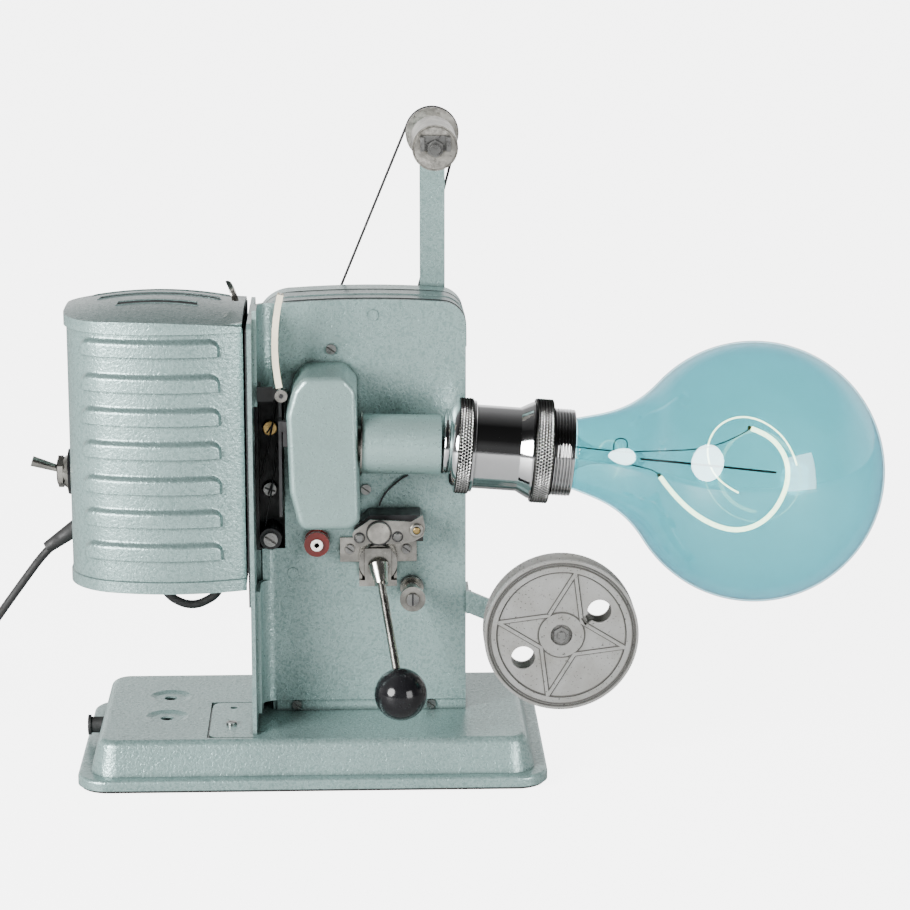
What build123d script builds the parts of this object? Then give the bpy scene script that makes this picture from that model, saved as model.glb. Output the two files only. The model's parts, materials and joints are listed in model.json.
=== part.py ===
from build123d import *
import os
from math import atan2, cos, degrees, pi, radians, sin, sqrt, tan

# An 8 mm film projector made into a lamp.
# Millimetres. Origin: centre of the underside. +X to the lamp globe, +Y to the back, +Z up.

# ---- driving dimensions ----
BASE_L = 226.0          # base lip, along X
BASE_W = 129.0          # base lip, along Y
BUSH_Y = 0.0            # empty cable bush in the left side of the pan
PAD_T = 1.5             # felt pad under the lip
LIP_TOP = 6.5
DECK_Z = 22.9           # top of the base pan
DECK_L = 206.0
DECK_W = 109.0

BODY_X0 = -27.0         # casing, left side against the divider
BODY_X1 = 75.0
BODY_TOP = 227.5
PLATE_Y = -9.0          # face of the front plate
PLATE_T = 3.0
SEAM_Y = 20.0           # joint between casing shell and rear cover
BACK_Y = 34.0           # outside of the rear cover

FILM_Y = -28.0          # middle plane of the film path
LIGHT_Z = 162.0         # height of the light path
LENS_Y = -32.6          # lens tube and lampholder axis, forward of the plate's edge
LENS_Z = 163.0

HOUSE_X0 = -115.6       # lamp house, left end
HOUSE_Z0 = 94.0
HOUSE_Z1 = 221.0
HOUSE_MID_Y = -3.0
SHEET = 1.2

HOLDER_AT = (62.0, -32.6, 162.9)
HOLDER_TILT = 4.5       # the lampholder droops by this
HOLDER_LEN = 62.9
BULB_TILT = 6.3
GLOBE_R = 62.5
GLOBE_C = 87.8          # globe centre from the lampholder's mouth

REEL_AT = (120.3, 68.2)
REEL_R = 37.5
FEED_AT = (60.0, 302.5)
FEED_PULLEY_R = 12.8
DRIVE_AT = (15.7, 169.7)
DRIVE_PULLEY_R = 22.5
BELT_Y = 41.9

LEVER_AT = (32.0, 102.2)
BALL_AT = (42.0, -66.0, 49.0)
BALL_R = 12.5

CORD_D = 4.2
LEAD_X = 6.0            # where the lamp's lead enters the gate block
LOOP_X = (-76.0, -44.5)  # legs of the lead's loop under the lamp house
COIL_AT = (-212.0, 84.0)
COIL_R = 22.6           # middle of the turns
COIL_TURNS = 3          # side by side
COIL_LAYERS = 4
PLUG_AT = (-241.0, 128.2)

os.makedirs("parts", exist_ok=True)


# ---- helpers ----
def block(x0, x1, y0, y1, z0, z1):
    """A box between the given planes."""
    size = Box(x1 - x0, y1 - y0, z1 - z0)
    return Pos((x0 + x1) / 2, (y0 + y1) / 2, (z0 + z1) / 2) * size


def rod_x(r, x0, x1, y, z):
    return Pos((x0 + x1) / 2, y, z) * Rot(0, 90, 0) * Cylinder(r, x1 - x0)


def rod_y(r, y0, y1, x, z):
    return Pos(x, (y0 + y1) / 2, z) * Rot(90, 0, 0) * Cylinder(r, y1 - y0)


def rod_z(r, z0, z1, x, y):
    return Pos(x, y, (z0 + z1) / 2) * Cylinder(r, z1 - z0)


def plate_xz(points, y0, y1):
    """A flat piece with an outline in X and Z, between two Y planes."""
    outline = make_face(Polyline([(x, z) for x, z in points], close=True))
    plane = Plane(origin=(0, y0, 0), x_dir=(1, 0, 0), z_dir=(0, -1, 0))
    return extrude(plane * outline, -(y1 - y0))


def turned(points):
    """A turned piece: points are (distance along X, radius)."""
    outline = make_face(Polyline(points, close=True))
    return revolve(outline, Axis.X)


def slot_screw(r, head, shank, x, z, y):
    """A slotted screw along Y with its head in front of the plane y."""
    thread = 1.2 if r > 2.3 else 1.05
    screw = rod_y(r, y - head, y, x, z) + rod_y(thread, y, y + shank, x, z)
    slot = Pos(x, y - head, z) * Rot(0, 35, 0) * Box(2 * r + 1, head, r * 0.3)
    return screw - slot


def save(name, shape):
    shape.label = name
    export_step(shape, f"parts/{name}.step")
    print(f"{name:24s} {shape.volume:12.1f} mm3")


# ---- base ----
def rounded_prism(length, width, radius, z, height, taper=0.0):
    face = Pos(0, 0, z) * RectangleRounded(length, width, radius)
    return extrude(face, height, taper=taper)


DECK_TAPER = degrees(atan2(4.0, DECK_Z - LIP_TOP))


def base_pan():
    lip = rounded_prism(BASE_L, BASE_W, 15.0, PAD_T, LIP_TOP - PAD_T)
    lip = fillet(lip.edges().group_by(Axis.Z)[-1], 1.6)
    rise = DECK_Z - LIP_TOP
    walls = rounded_prism(DECK_L + 8, DECK_W + 8, 13.0, LIP_TOP, rise, DECK_TAPER)
    walls = fillet(walls.edges().group_by(Axis.Z)[-1], 4.0)
    pan = lip + walls
    inside = rounded_prism(DECK_L + 5, DECK_W + 5, 12.0, PAD_T, DECK_Z - 2.0 - PAD_T, 12.0)
    pan -= inside
    for y in (16.9, -15.4):
        pan -= Pos(-72, y, DECK_Z - 0.5) * Cone(7.5, 10.5, 1.0)
        pan -= rod_z(3.2, DECK_Z - 3, DECK_Z, -72, y)
    pan -= block(-51, -27, -50, 6, DECK_Z - 1.5, DECK_Z + 1)
    pan -= block(-29, -27, -47, 34, DECK_Z - 1.5, DECK_Z + 1)
    pan -= rod_z(1.6, DECK_Z - 3, DECK_Z, -39.8, -29)
    pan -= rod_x(4.05, -114, -102, BUSH_Y, 14.0)
    return pan


def base_pad():
    return rounded_prism(BASE_L - 3, BASE_W - 3, 14.0, 0, PAD_T)


def cable_bush():
    bush = rod_x(4.0, -110.6, -103.5, BUSH_Y, 14.0) + rod_x(5.0, -112.0, -110.6, BUSH_Y, 14.0)
    return bush - rod_x(2.4, -114, -103, BUSH_Y, 14.0)


# ---- divider and heat shield ----
def divider_plate():
    plate = block(-29, -27, -46, 33.5, DECK_Z - 1.5, 223.5)
    top = plate.edges().filter_by(Axis.X).group_by(Axis.Z)[-1]
    plate = fillet(top, 4.0)
    foot = block(-50, -27, -49, 5, DECK_Z - 1.5, DECK_Z)
    plate += fillet(foot.edges().filter_by(Axis.Z).group_by(Axis.X)[0], 5.0)
    plate -= rod_x(12.0, -30, -26, FILM_Y, LIGHT_Z)
    plate -= rod_z(1.6, 20, 24, -39.8, -29)
    plate -= rod_z(1.8, 20, 24, -39.7, -3)
    plate -= rod_x(2.3, -30, -26, 14, 118)
    return plate - rod_x(1.5, -30, -26, 10, 206)


def heat_shield():
    sheet = block(-30, -29, -40.5, 34, 85, 219)
    sheet -= rod_x(12.0, -31, -28, FILM_Y, LIGHT_Z)
    sheet -= rod_x(2.3, -31, -28, 14, 118)
    return sheet - rod_x(1.5, -31, -28, 10, 206)


# ---- casing ----
def casing_outline(inset=0.0):
    """The casing seen from the front, slightly arched on top."""
    x0 = BODY_X0 + inset
    x1 = BODY_X1 - inset
    top = BODY_TOP - inset
    left = 18.0 - inset
    right = 12.0 - inset
    k = 1 - cos(pi / 4)
    lines = [
        Line((x0, DECK_Z), (x0, top - left)),
        ThreePointArc((x0, top - left), (x0 + left * k, top - left * k), (x0 + left, top)),
        ThreePointArc((x0 + left, top), (30, top + 1.2), (x1 - right, top)),
        ThreePointArc((x1 - right, top), (x1 - right * k, top - right * k), (x1, top - right)),
        Line((x1, top - right), (x1, DECK_Z)),
        Line((x1, DECK_Z), (x0, DECK_Z)),
    ]
    return make_face(Curve() + lines)


def casing_prism(y0, y1, inset=0.0):
    plane = Plane(origin=(0, y0, 0), x_dir=(1, 0, 0), z_dir=(0, -1, 0))
    return extrude(plane * casing_outline(inset), -(y1 - y0))


def casing_shell():
    shell = casing_prism(PLATE_Y + PLATE_T, SEAM_Y) - casing_prism(-20, 40, 2.0)
    shell -= block(-24.9, BODY_X1 - 2, -20, 40, 20, 26)
    strip = block(BODY_X0 + 9, BODY_X1, -7.5, -6, DECK_Z, 28.4)
    lugs = block(-20, 4, -6, -4.5, DECK_Z, 40) + block(46, 70, -6, -4.5, DECK_Z, 40)
    shell += strip + lugs
    for x in (-8.4, 57.9):
        shell -= rod_y(1.25, -8, -4, x, 25.7)
    shell -= rod_x(1.25, 70, 80, 0, 79)
    shell -= rod_x(2.3, -28, -24, 14, 118)
    shell -= block(-28, -24.9, -7, 7.05, 104.4, 182.6)
    return shell


def rear_cover():
    cover = casing_prism(SEAM_Y, BACK_Y) - casing_prism(SEAM_Y - 1, BACK_Y - 2, 2.0)
    cover -= block(BODY_X0 + 2, BODY_X1 - 2, SEAM_Y - 1, BACK_Y - 2, 20, 26)
    cover -= rod_y(3.05, 30, 36, *DRIVE_AT)
    for z in (192, 214):
        cover -= rod_y(1.25, 30, 36, FEED_AT[0], z)
    for x in (-14, 62):
        cover -= rod_y(1.25, 30, 36, x, 40)
    for n in range(6):
        cover -= block(6, 46, 30, 36, 62 + 9 * n, 65 + 9 * n)
    return cover


FRONT_SCREWS = [(10.1, 204.7), (26.4, 135.3)]
RIVETS = [(30.4, 221.1), (-9.5, 93.5)]


def front_plate():
    """A flat plate whose left edge coves forward on to the divider."""
    plate = casing_prism(PLATE_Y, PLATE_Y + PLATE_T) & block(-18, 80, -9, -6, 28.5, 240)
    plate += block(-18, -2, PLATE_Y, PLATE_Y + PLATE_T, 200, BODY_TOP - 0.2)
    c = sin(pi / 4)
    flange = [
        Line((-18, -9), (-18, -7)),
        ThreePointArc((-18, -7), (-18 - 9 * c, -16 + 9 * c), (-27, -16)),
        Line((-27, -16), (-27, -30)),
        Line((-27, -30), (-25, -30)),
        Line((-25, -30), (-25, -16)),
        ThreePointArc((-25, -16), (-18 - 7 * c, -16 + 7 * c), (-18, -9)),
    ]
    cove = extrude(Pos(0, 0, 28.5) * make_face(Curve() + flange), BODY_TOP - 28.7)
    plate += cove
    plate -= block(-28, -13, -31, -5, 106, 181)
    plate -= block(-28, -18, -31, -9.5, 90, 106)
    for x, z in FRONT_SCREWS:
        plate -= rod_y(1.25, -10, -5, x, z)
    for x, z in RIVETS:
        plate += rod_y(2.6, -9.5, -9, x, z)
    for x, z in ((18.4, 105.8), (46.0, 105.6)):
        plate -= rod_y(1.1, -12, -5, x, z)
    plate -= rod_y(1.9, -12, -5, 2.4, 110)
    plate -= rod_y(1.9, -12, -5, 48.5, 86.2)
    plate -= rod_y(3.6, -12, -5, *LEVER_AT)
    plate -= rod_y(5.9, -12, -5, LEAD_X, LENS_Z)
    return plate


# ---- gate ----
def gate_liner():
    liner = block(-26.9, -12, -6, 7, 104.5, 182.5) - block(-25.5, -13.5, -7, 5.5, 106, 181)
    for x, z in ((-20.1, 163.2), (-20.5, 132.6)):
        liner -= rod_y(1.25, 5, 8, x, z)
    liner += rod_y(5.3, -12, 5.5, -20.0, 111.4)
    liner -= rod_y(1.25, -13, -6, -20.0, 111.4)
    return liner


def gate_strip():
    strip = block(-14.9, -13.5, -38, 2, 129, 184)
    strip -= block(-16, -12, -30.5, -25.6, LIGHT_Z - 1.8, LIGHT_Z + 1.8)
    strip -= block(-16, -12, -38.5, -31, 176, 185)
    strip -= block(-16, -12, -9.3, 3, 180.8, 185)
    return strip


def gate_block():
    outline = [
        (-3.5, 124.5), (19.5, 124.5), (23.5, 129.0), (22.2, 192.0), (16.5, 198.5),
        (-2.5, 198.5), (-7.7, 192.0), (-11.0, 180.0), (-9.8, 143.0), (-6.0, 128.0),
    ]
    body = plate_xz(outline, -48, -9)
    body = fillet(body.edges().filter_by(Axis.Y), 5.0)
    front = body.faces().sort_by(Axis.Y)[0]
    body = fillet(front.edges(), 3.0)
    body -= rod_x(9.0, -14, 26, LENS_Y, LENS_Z)
    body -= block(-14, -8, -46, -40, 164, 178)
    return body - rod_y(6.0, LENS_Y, -8, LEAD_X, LENS_Z)


def gate_latch():
    latch = block(-12.6, -10.2, -45.8, -40.2, 165, 177)
    return latch + block(-14.8, -12.6, -44.5, -41.5, 172, 177)


LEVER_PIVOT_Z = 187.5


def gate_lever():
    """Thin springy lever that stands up beside the gate, bowed to the left."""
    path = ThreePointArc((-13.5, 188), (-16.2, 212), (-13.2, 236))
    shape = None
    steps = 8
    for n in range(steps):
        a = path @ (n / steps)
        b = path @ ((n + 1) / steps)
        length = sqrt((b.X - a.X) ** 2 + (b.Y - a.Y) ** 2)
        tilt = degrees(atan2(b.X - a.X, b.Y - a.Y))
        bar = Pos((a.X + b.X) / 2, -35, (a.Y + b.Y) / 2) * Rot(0, tilt, 0) * Box(1.0, 4.0, length + 0.4)
        shape = bar if shape is None else shape + bar
    eye = rod_y(3.0, -37, -33, -13.5, LEVER_PIVOT_Z) - rod_y(1.05, -38, -32, -13.5, LEVER_PIVOT_Z)
    return (shape - rod_y(2.9, -38, -32, -13.5, LEVER_PIVOT_Z)) + eye


def lever_sleeve():
    """Cream sleeve on the gate lever, from just above its pivot."""
    path = ThreePointArc((-13.5, 188), (-16.2, 212), (-13.2, 236))
    shape = None
    for n in range(8):
        a = path @ (0.08 + 0.115 * n)
        b = path @ (0.08 + 0.115 * (n + 1))
        length = sqrt((b.X - a.X) ** 2 + (b.Y - a.Y) ** 2)
        tilt = degrees(atan2(b.X - a.X, b.Y - a.Y))
        bar = Pos((a.X + b.X) / 2, -35, (a.Y + b.Y) / 2) * Rot(0, tilt, 0) * Box(3.0, 6.0, length + 0.3)
        shape = bar if shape is None else shape + bar
    return shape - gate_lever()


def lever_bracket():
    """Stud bracket on the divider that carries the gate lever."""
    arm = block(-25, -17.5, -32.4, -30.6, 184, 191)
    arm += block(-17.5, -11, -32.4, -30.6, 185, 190)
    arm += block(-25, -23.6, -32.4, -20, 184, 191)
    return arm + rod_y(1.0, -37.6, -32.4, -13.5, LEVER_PIVOT_Z)


# ---- lens tube and lampholder ----
TUBE_FRAME = Pos(22.0, LENS_Y, 163.6) * Rot(0, 1.7, 0)


def lens_tube():
    tube = turned([(2.6, 0), (40, 0), (40, 14.3), (2.6, 14.3)])
    tube -= turned([(2.5, 0), (38.0, 0), (38.0, 12.8), (2.5, 12.8)])
    tube -= turned([(37, 0), (41, 0), (41, 4.9), (37, 4.9)])
    return TUBE_FRAME * tube


def lens_ring():
    ring = turned([(1.9, 10.5), (2.6, 10.5), (2.6, 15.6), (1.9, 15.6)])
    spigot = turned([(-6, 7.8), (1.9, 7.8), (2.6, 10.5), (1.9, 10.5), (1.9, 8.8), (-6, 8.8)])
    return TUBE_FRAME * (ring + spigot)


HOLDER = Pos(*HOLDER_AT) * Rot(0, HOLDER_TILT, 0)


def holder_cap():
    outer = [(1.0, 0), (1.0, 13.0), (2.2, 15.8), (5.0, 19.0), (7.5, 21.0), (7.5, 23.0),
             (14.5, 23.0), (14.5, 18.5), (8.0, 18.5), (3.4, 13.5), (3.0, 0)]
    cap = turned(outer)
    cap += turned([(-3.0, 3.0), (3.0, 3.0), (3.0, 4.7), (-3.0, 4.7)])
    cap -= turned([(-4, 0), (4, 0), (4, 3.0), (-4, 3.0)])
    return HOLDER * cap


def holder_barrel():
    outer = [(14.5, 18.4), (14.5, 20.0), (37.0, 20.0), (43.0, 23.0), (43.6, 23.0), (43.6, 20.9),
             (HOLDER_LEN, 20.9), (HOLDER_LEN, 19.2), (38.0, 19.2), (36.5, 18.4)]
    return HOLDER * turned(outer)


def shade_ring():
    ring = turned([(43.9, 20.96), (52.6, 20.96), (52.6, 25.0), (43.9, 25.0)])
    return HOLDER * ring


def holder_insulator():
    core = turned([(15.5, 0), (24.0, 0), (24.0, 14.8), (40.0, 14.8), (40.0, 18.0), (15.5, 18.0)])
    core -= turned([(15, 0), (25, 0), (25, 2.2), (15, 2.2)])
    return HOLDER * core


def holder_screw_shell():
    shell = turned([(24.0, 13.95), (60.5, 13.95), (60.5, 14.7), (24.0, 14.7)])
    return HOLDER * shell


def holder_contact():
    tongue = turned([(16.0, 0), (34.6, 0), (34.6, 1.6), (28, 2.1), (16.0, 2.1)])
    return HOLDER * tongue


# ---- lamp globe ----
BULB = Pos(HOLDER_AT[0] + HOLDER_LEN * cos(radians(HOLDER_TILT)), LENS_Y,
           HOLDER_AT[2] - HOLDER_LEN * sin(radians(HOLDER_TILT))) * Rot(0, BULB_TILT, 0)


def globe_profile(inset):
    """Half section of the globe: neck curve, then a round ball."""
    r = GLOBE_R - inset
    a = radians(142)
    joint = (GLOBE_C + r * cos(a), r * sin(a))
    tip = (GLOBE_C + r, 0)
    mid = (GLOBE_C + r * cos(radians(70)), r * sin(radians(70)))
    neck = Spline((0.5, 16.9 - inset), (12, 19.6 - inset), (24, 25.4 - inset), joint,
                  tangents=[(1, 0.15), (sin(a), -cos(a))])
    lines = [
        Line((0.5, 0), (0.5, 16.9 - inset)),
        neck,
        ThreePointArc(joint, mid, tip),
        Line(tip, (0.5, 0)),
    ]
    return make_face(Curve() + lines)


def bulb_glass():
    outer = revolve(globe_profile(0.0), Axis.X)
    inner = revolve(globe_profile(0.9), Axis.X)
    hole = turned([(-1, 0), (2, 0), (2, 13.0), (-1, 13.0)])
    return BULB * (outer - inner - hole)


def bulb_cap():
    points = [(-25.0, 0), (-25.0, 7.0), (-22.5, 12.6)]
    for n in range(4):
        x = -21.0 + 4.6 * n
        points += [(x, 13.1), (x + 1.6, 13.1), (x + 2.3, 12.4), (x + 3.9, 12.4)]
    points += [(-1.6, 13.1), (0.4, 13.1), (0.4, 12.4), (-22.0, 11.8), (-23.6, 6.6), (-23.6, 0)]
    button = turned([(-26.2, 0), (-25.0, 0), (-25.0, 4.2), (-25.8, 3.4)])
    return BULB * (turned(points) + button)


def bulb_stem():
    stem = turned([(-6, 0), (-6, 5.0), (2, 9.0), (5, 6.0), (16, 4.0), (30, 3.2), (33, 4.2), (35, 0)])
    support = turned([(34, 0), (34, 0.6), (96, 0.6), (96, 0)])
    foot = turned([(-6, 5.0), (-3, 12.3), (-2, 12.3), (2, 9.0)])
    return BULB * (stem + foot + support)


def bulb_filament():
    """One long curved light strip hung in an open loop from two wires."""
    loop = Spline((44, 6, 9), (60, 12, -9), (84, 10, -25), (101, 0, -17), (104, -9, 3), (92, -10, 17),
                  (76, -5, 12), (70, 3, -3))
    section = Plane(origin=loop @ 0, z_dir=loop % 0) * Circle(1.1)
    strip = sweep(section, path=loop)
    lead_a = Line((33, 2.8, 2.0), (44, 6, 9))
    lead_b = Line((33, -2.8, 1.0), (70, 3, -3))
    wires = None
    for lead in (lead_a, lead_b):
        wire = sweep(Plane(origin=lead @ 0, z_dir=lead % 0) * Circle(0.45), path=lead)
        wires = wire if wires is None else wires + wire
    return BULB * (strip + wires)


# ---- feed arm and belt ----
def feed_arm():
    x, z = FEED_AT
    arm = block(x - 6.15, x + 6.15, BACK_Y, BACK_Y + 2.5, 184, z) + rod_y(6.15, BACK_Y, BACK_Y + 2.5, x, z)
    for hz in (192, 214):
        arm -= rod_y(1.25, 30, 40, x, hz)
    arm += rod_y(7.0, 18.4, BACK_Y, x, z)
    return arm - rod_y(3.05, 10, 40, x, z)


def feed_hub():
    """Knurled reel hub on the front of the feed spindle."""
    x, z = FEED_AT
    hub = rod_y(10.9, -18.6, 18.0, x, z) + rod_y(9.8, -20.0, -18.6, x, z)
    return hub - rod_y(3.0, -21, 19, x, z)


def feed_spindle():
    """Shaft, nut and the sprung clip that held the reel."""
    x, z = FEED_AT
    shaft = rod_y(3.0, -20, 46.5, x, z) + rod_y(2.4, -26, -20, x, z)
    nut = extrude(Plane(origin=(x, -20, z), z_dir=(0, -1, 0)) * RegularPolygon(4.2, 6), 2.6)
    clip = block(x - 7.2, x + 7.2, -21.2, -20, z - 1.0, z + 6.0)
    clip += block(x - 7.2, x - 5.2, -25, -21.2, z - 1.0, z + 5.6)
    clip += block(x + 5.2, x + 7.2, -25, -21.2, z - 1.0, z + 5.6)
    return shaft + nut + clip


def grooved_wheel(r, x, z, y0, y1, bore):
    mid = (y0 + y1) / 2
    groove = [(y0, 0), (y0, r), (mid - 1.6, r), (mid, r - 1.6), (mid + 1.6, r), (y1, r), (y1, 0)]
    wheel = Pos(x, 0, z) * Rot(0, 0, 90) * turned(groove)
    return wheel - rod_y(bore, y0 - 1, y1 + 1, x, z)


def feed_pulley():
    return grooved_wheel(FEED_PULLEY_R, FEED_AT[0], FEED_AT[1], 38.0, 45.8, 3.0)


def drive_pulley():
    """Grooved wheel on a stub shaft that ends just inside the rear cover."""
    x, z = DRIVE_AT
    wheel = grooved_wheel(DRIVE_PULLEY_R, x, z, 38.0, 45.8, 3.0)
    return wheel + rod_y(3.0, 31.7, 47, x, z) + rod_y(4.5, 47, 48.2, x, z) + rod_y(5.0, 34.4, 38.0, x, z)


def belt_loop(grow):
    """Outline round both pulleys at a given height above their grooves."""
    x1, z1 = FEED_AT
    x2, z2 = DRIVE_AT
    r1 = FEED_PULLEY_R - 1.0 + grow
    r2 = DRIVE_PULLEY_R - 1.0 + grow
    dist = sqrt((x1 - x2) ** 2 + (z1 - z2) ** 2)
    lean = atan2(z1 - z2, x1 - x2)
    turn = pi / 2 + atan2(r2 - r1, sqrt(dist ** 2 - (r2 - r1) ** 2))

    def on(x, z, r, a):
        return (x + r * cos(a), z + r * sin(a))

    a1 = lean + turn - 2 * (turn - pi / 2)
    a2 = lean - turn + 2 * (turn - pi / 2)
    lines = [
        ThreePointArc(on(x1, z1, r1, a1), on(x1, z1, r1, lean), on(x1, z1, r1, a2)),
        Line(on(x1, z1, r1, a2), on(x2, z2, r2, a2)),
        ThreePointArc(on(x2, z2, r2, a2), on(x2, z2, r2, lean + pi), on(x2, z2, r2, a1)),
        Line(on(x2, z2, r2, a1), on(x1, z1, r1, a1)),
    ]
    return make_face(Curve() + lines)


def feed_belt():
    plane = Plane(origin=(0, BELT_Y - 0.6, 0), x_dir=(1, 0, 0), z_dir=(0, -1, 0))
    return extrude(plane * (belt_loop(1.5) - belt_loop(0.3)), -1.2)


# ---- take-up arm and reel ----
def takeup_arm():
    x, z = REEL_AT
    outline = [(76.6, 84.2), (90, 78.4), (112, 75.2), (112, 62.4), (90, 67.2), (76.6, 73.0)]
    arm = plate_xz(outline, -12.5, -10) + rod_y(8.0, -12.5, -10, x, z)
    arm += plate_xz([(110, 75.4), (x, z + 8), (x, z - 8), (110, 62.2)], -12.5, -10)
    arm += block(75, 76.6, -12.5, 6, 73.0, 84.2)
    arm -= rod_x(1.25, 74, 78, 0, 79)
    arm += rod_y(5.6, -20.4, -12.5, x, z)
    return arm - rod_y(2.55, -22, -8, x, z)


STAR_TIPS = 4
STAR_TOP = 78.0         # angle of the first tip


def star(r_out, r_in, width):
    """Raised star drawn as a closed strip of even width."""
    ridge = None
    points = []
    for n in range(2 * STAR_TIPS):
        r = r_out if n % 2 == 0 else r_in
        a = radians(STAR_TOP + 180 / STAR_TIPS * n)
        points.append((r * cos(a), r * sin(a)))
    for n in range(2 * STAR_TIPS):
        (xa, za) = points[n]
        (xb, zb) = points[(n + 1) % (2 * STAR_TIPS)]
        length = sqrt((xb - xa) ** 2 + (zb - za) ** 2)
        lean = degrees(atan2(zb - za, xb - xa))
        bar = Pos((xa + xb) / 2, 0, (za + zb) / 2) * Rot(0, -lean, 0) * Box(length + width / 2, 0.7, width)
        ridge = bar if ridge is None else ridge + bar
    return ridge


def takeup_reel():
    """Cast two-flange film spool with a star on its face and two holes for the film end."""
    x, z = REEL_AT
    front = rod_y(REEL_R, -34.6, -33.0, x, z)
    back = rod_y(REEL_R, -22.4, -20.8, x, z)
    core = rod_y(14.0, -33.0, -22.4, x, z)
    rim = rod_y(REEL_R, -35.3, -34.6, x, z) - rod_y(31.6, -36, -34, x, z)
    rim -= rod_y(35.8, -36, -35.0, x, z) - rod_y(34.6, -36, -34, x, z)
    boss = rod_y(10.9, -35.1, -34.6, x, z)
    reel = front + back + core + rim + boss
    reel += Pos(x, -34.85, z) * star(31.4, 11.6, 1.5)
    for a in (32, 212):
        hx = x + 21.7 * cos(radians(a))
        hz = z + 21.7 * sin(radians(a))
        reel -= rod_y(5.8, -36, -20, hx, hz)
    slot = Rot(0, -32, 0) * block(12.2, 17.0, -36, -32.5, -2.0, 2.0)
    reel -= Pos(x, 0, z) * slot
    reel -= rod_y(5.3, -36, -33.6, x, z)
    return reel - rod_y(3.2, -36, -20, x, z)


def takeup_spindle():
    """Shaft through the arm with a collar, a nut and nose in front and a nut behind."""
    x, z = REEL_AT
    shaft = rod_y(2.5, -20.7, -9.6, x, z) + rod_y(3.2, -34.0, -20.7, x, z)
    cap = extrude(Plane(origin=(x, -35.4, z), z_dir=(0, 1, 0)) * RegularPolygon(4.0, 6), 1.5)
    nose = rod_y(1.8, -37.2, -35.4, x, z)
    nut = extrude(Plane(origin=(x, -9.6, z), z_dir=(0, 1, 0)) * RegularPolygon(4.0, 6), 2.4)
    return shaft + cap + nose + nut


# ---- film mechanism ----
FACE = [
    (19.6, 118.3), (20.7, 120.2), (28.1, 125.4), (47.9, 124.3), (53.4, 127.5), (54.6, 121.5),
    (53.8, 117.2), (49.7, 114.8), (43.1, 113.4), (39.4, 113.4), (27.7, 113.7), (24.3, 111.8), (21.0, 113.0),
]
FACE_PINS = [(23.1, 116.6), (41.3, 117.0), (50.5, 120.2)]


def mechanism_plate():
    plate = block(13.6, 50.9, -10.5, -9, 99.3, 111.4)
    for x, z in ((18.4, 105.8), (46.0, 105.6)):
        plate -= rod_y(1.1, -12, -8, x, z)
    return plate - rod_y(3.05, -12, -8, *LEVER_AT)


def mechanism_block():
    outline = [(20.5, 113), (53.8, 113), (54.0, 122), (52.5, 126), (28, 126), (20.5, 120)]
    body = plate_xz(outline, -24.8, -9)
    for x, z in FACE_PINS:
        body -= rod_y(1.5, -26, -15, x, z)
    return body


def mechanism_face():
    """Front plate with its three riveted pins and a round boss."""
    face = plate_xz(FACE, -31, -29.5)
    face += rod_y(5.4, -31.8, -31, 32.4, 118.9)
    for x, z in FACE_PINS:
        head = 2.0 if x < 50 else 2.8
        face += rod_y(1.5, -31, -15, x, z) + rod_y(head, -29.5, -24.8, x, z) + rod_y(head, -32.2, -31, x, z)
    return face


def lever_housing():
    """Strap bent to a U that carries the lever's shaft."""
    front = block(25.6, 38.2, -27.4, -25.9, 93, 110.2)
    feet = block(22.8, 41.0, -27.4, -25.9, 91.5, 94.5)
    left = block(22.8, 24.2, -25.9, -10.5, 91.5, 99.3)
    right = block(39.6, 41.0, -25.9, -10.5, 91.5, 99.3)
    floor = block(24.2, 39.6, -25.9, -10.5, 91.5, 92.7)
    back = block(22.8, 41.0, -10.5, -9, 91.5, 99.3)
    strap = front + feet + left + right + floor + back
    strap -= rod_y(9.6, -25.9, -9, *LEVER_AT)
    return strap - rod_y(3.05, -28, -25, *LEVER_AT)


def lever_hub():
    """Collar and shaft behind the strap, tapered ferrule in front of it."""
    x, z = LEVER_AT
    hub = rod_y(9.2, -25.5, -11.0, x, z) + rod_y(3.0, -28.0, -3.0, x, z)
    ferrule = LEVER_FRAME * Pos(0, 0, 5.0) * Cone(5.0, 3.3, 10.0)
    ferrule = ferrule & block(0, 60, -60, -27.8, 60, 120)
    return hub + ferrule - LEVER_FRAME * Pos(0, 0, 6.5) * Cylinder(2.0, 7.01)


LEVER_START = Vector(LEVER_AT[0], -27.8, LEVER_AT[1])
LEVER_DIR = (Vector(*BALL_AT) - LEVER_START).normalized()
LEVER_FRAME = Plane(origin=LEVER_START, z_dir=LEVER_DIR).location
LEVER_LEN = (Vector(*BALL_AT) - LEVER_START).length


def lever_rod():
    return LEVER_FRAME * Pos(0, 0, (3.0 + LEVER_LEN - 5) / 2) * Cylinder(2.0, LEVER_LEN - 8)


def lever_ball():
    ball = Pos(*BALL_AT) * Sphere(BALL_R)
    return ball - LEVER_FRAME * Pos(0, 0, LEVER_LEN - 12.5) * Cylinder(2.0, 15.0)


def roller_pins():
    """Fixed pins for the two film rollers."""
    guide = rod_y(1.9, -9, -4.5, 48.5, 86.2) + rod_y(5.8, -10.5, -9, 48.5, 86.2)
    guide += rod_y(2.0, -33.0, -10.5, 48.5, 86.2)
    head = rod_y(3.0, -34.4, -33.0, 48.5, 86.2)
    guide += head - Pos(48.5, -34.4, 86.2) * Box(0.9, 1.2, 7)
    eyelet = rod_y(1.9, -11.6, -4.5, 2.4, 110) + rod_y(2.9, -19.6, -18.6, 2.4, 110)
    eyelet += rod_y(1.9, -18.6, -11.6, 2.4, 110)
    return guide + eyelet - rod_y(1.3, -20, -6, 2.4, 110)


def guide_roller():
    roller = rod_y(6.2, -32.8, -30.6, 48.5, 86.2) + rod_y(3.8, -30.6, -12.6, 48.5, 86.2)
    roller += rod_y(5.6, -12.6, -10.9, 48.5, 86.2)
    return roller - rod_y(2.06, -34, -10, 48.5, 86.2)


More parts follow.
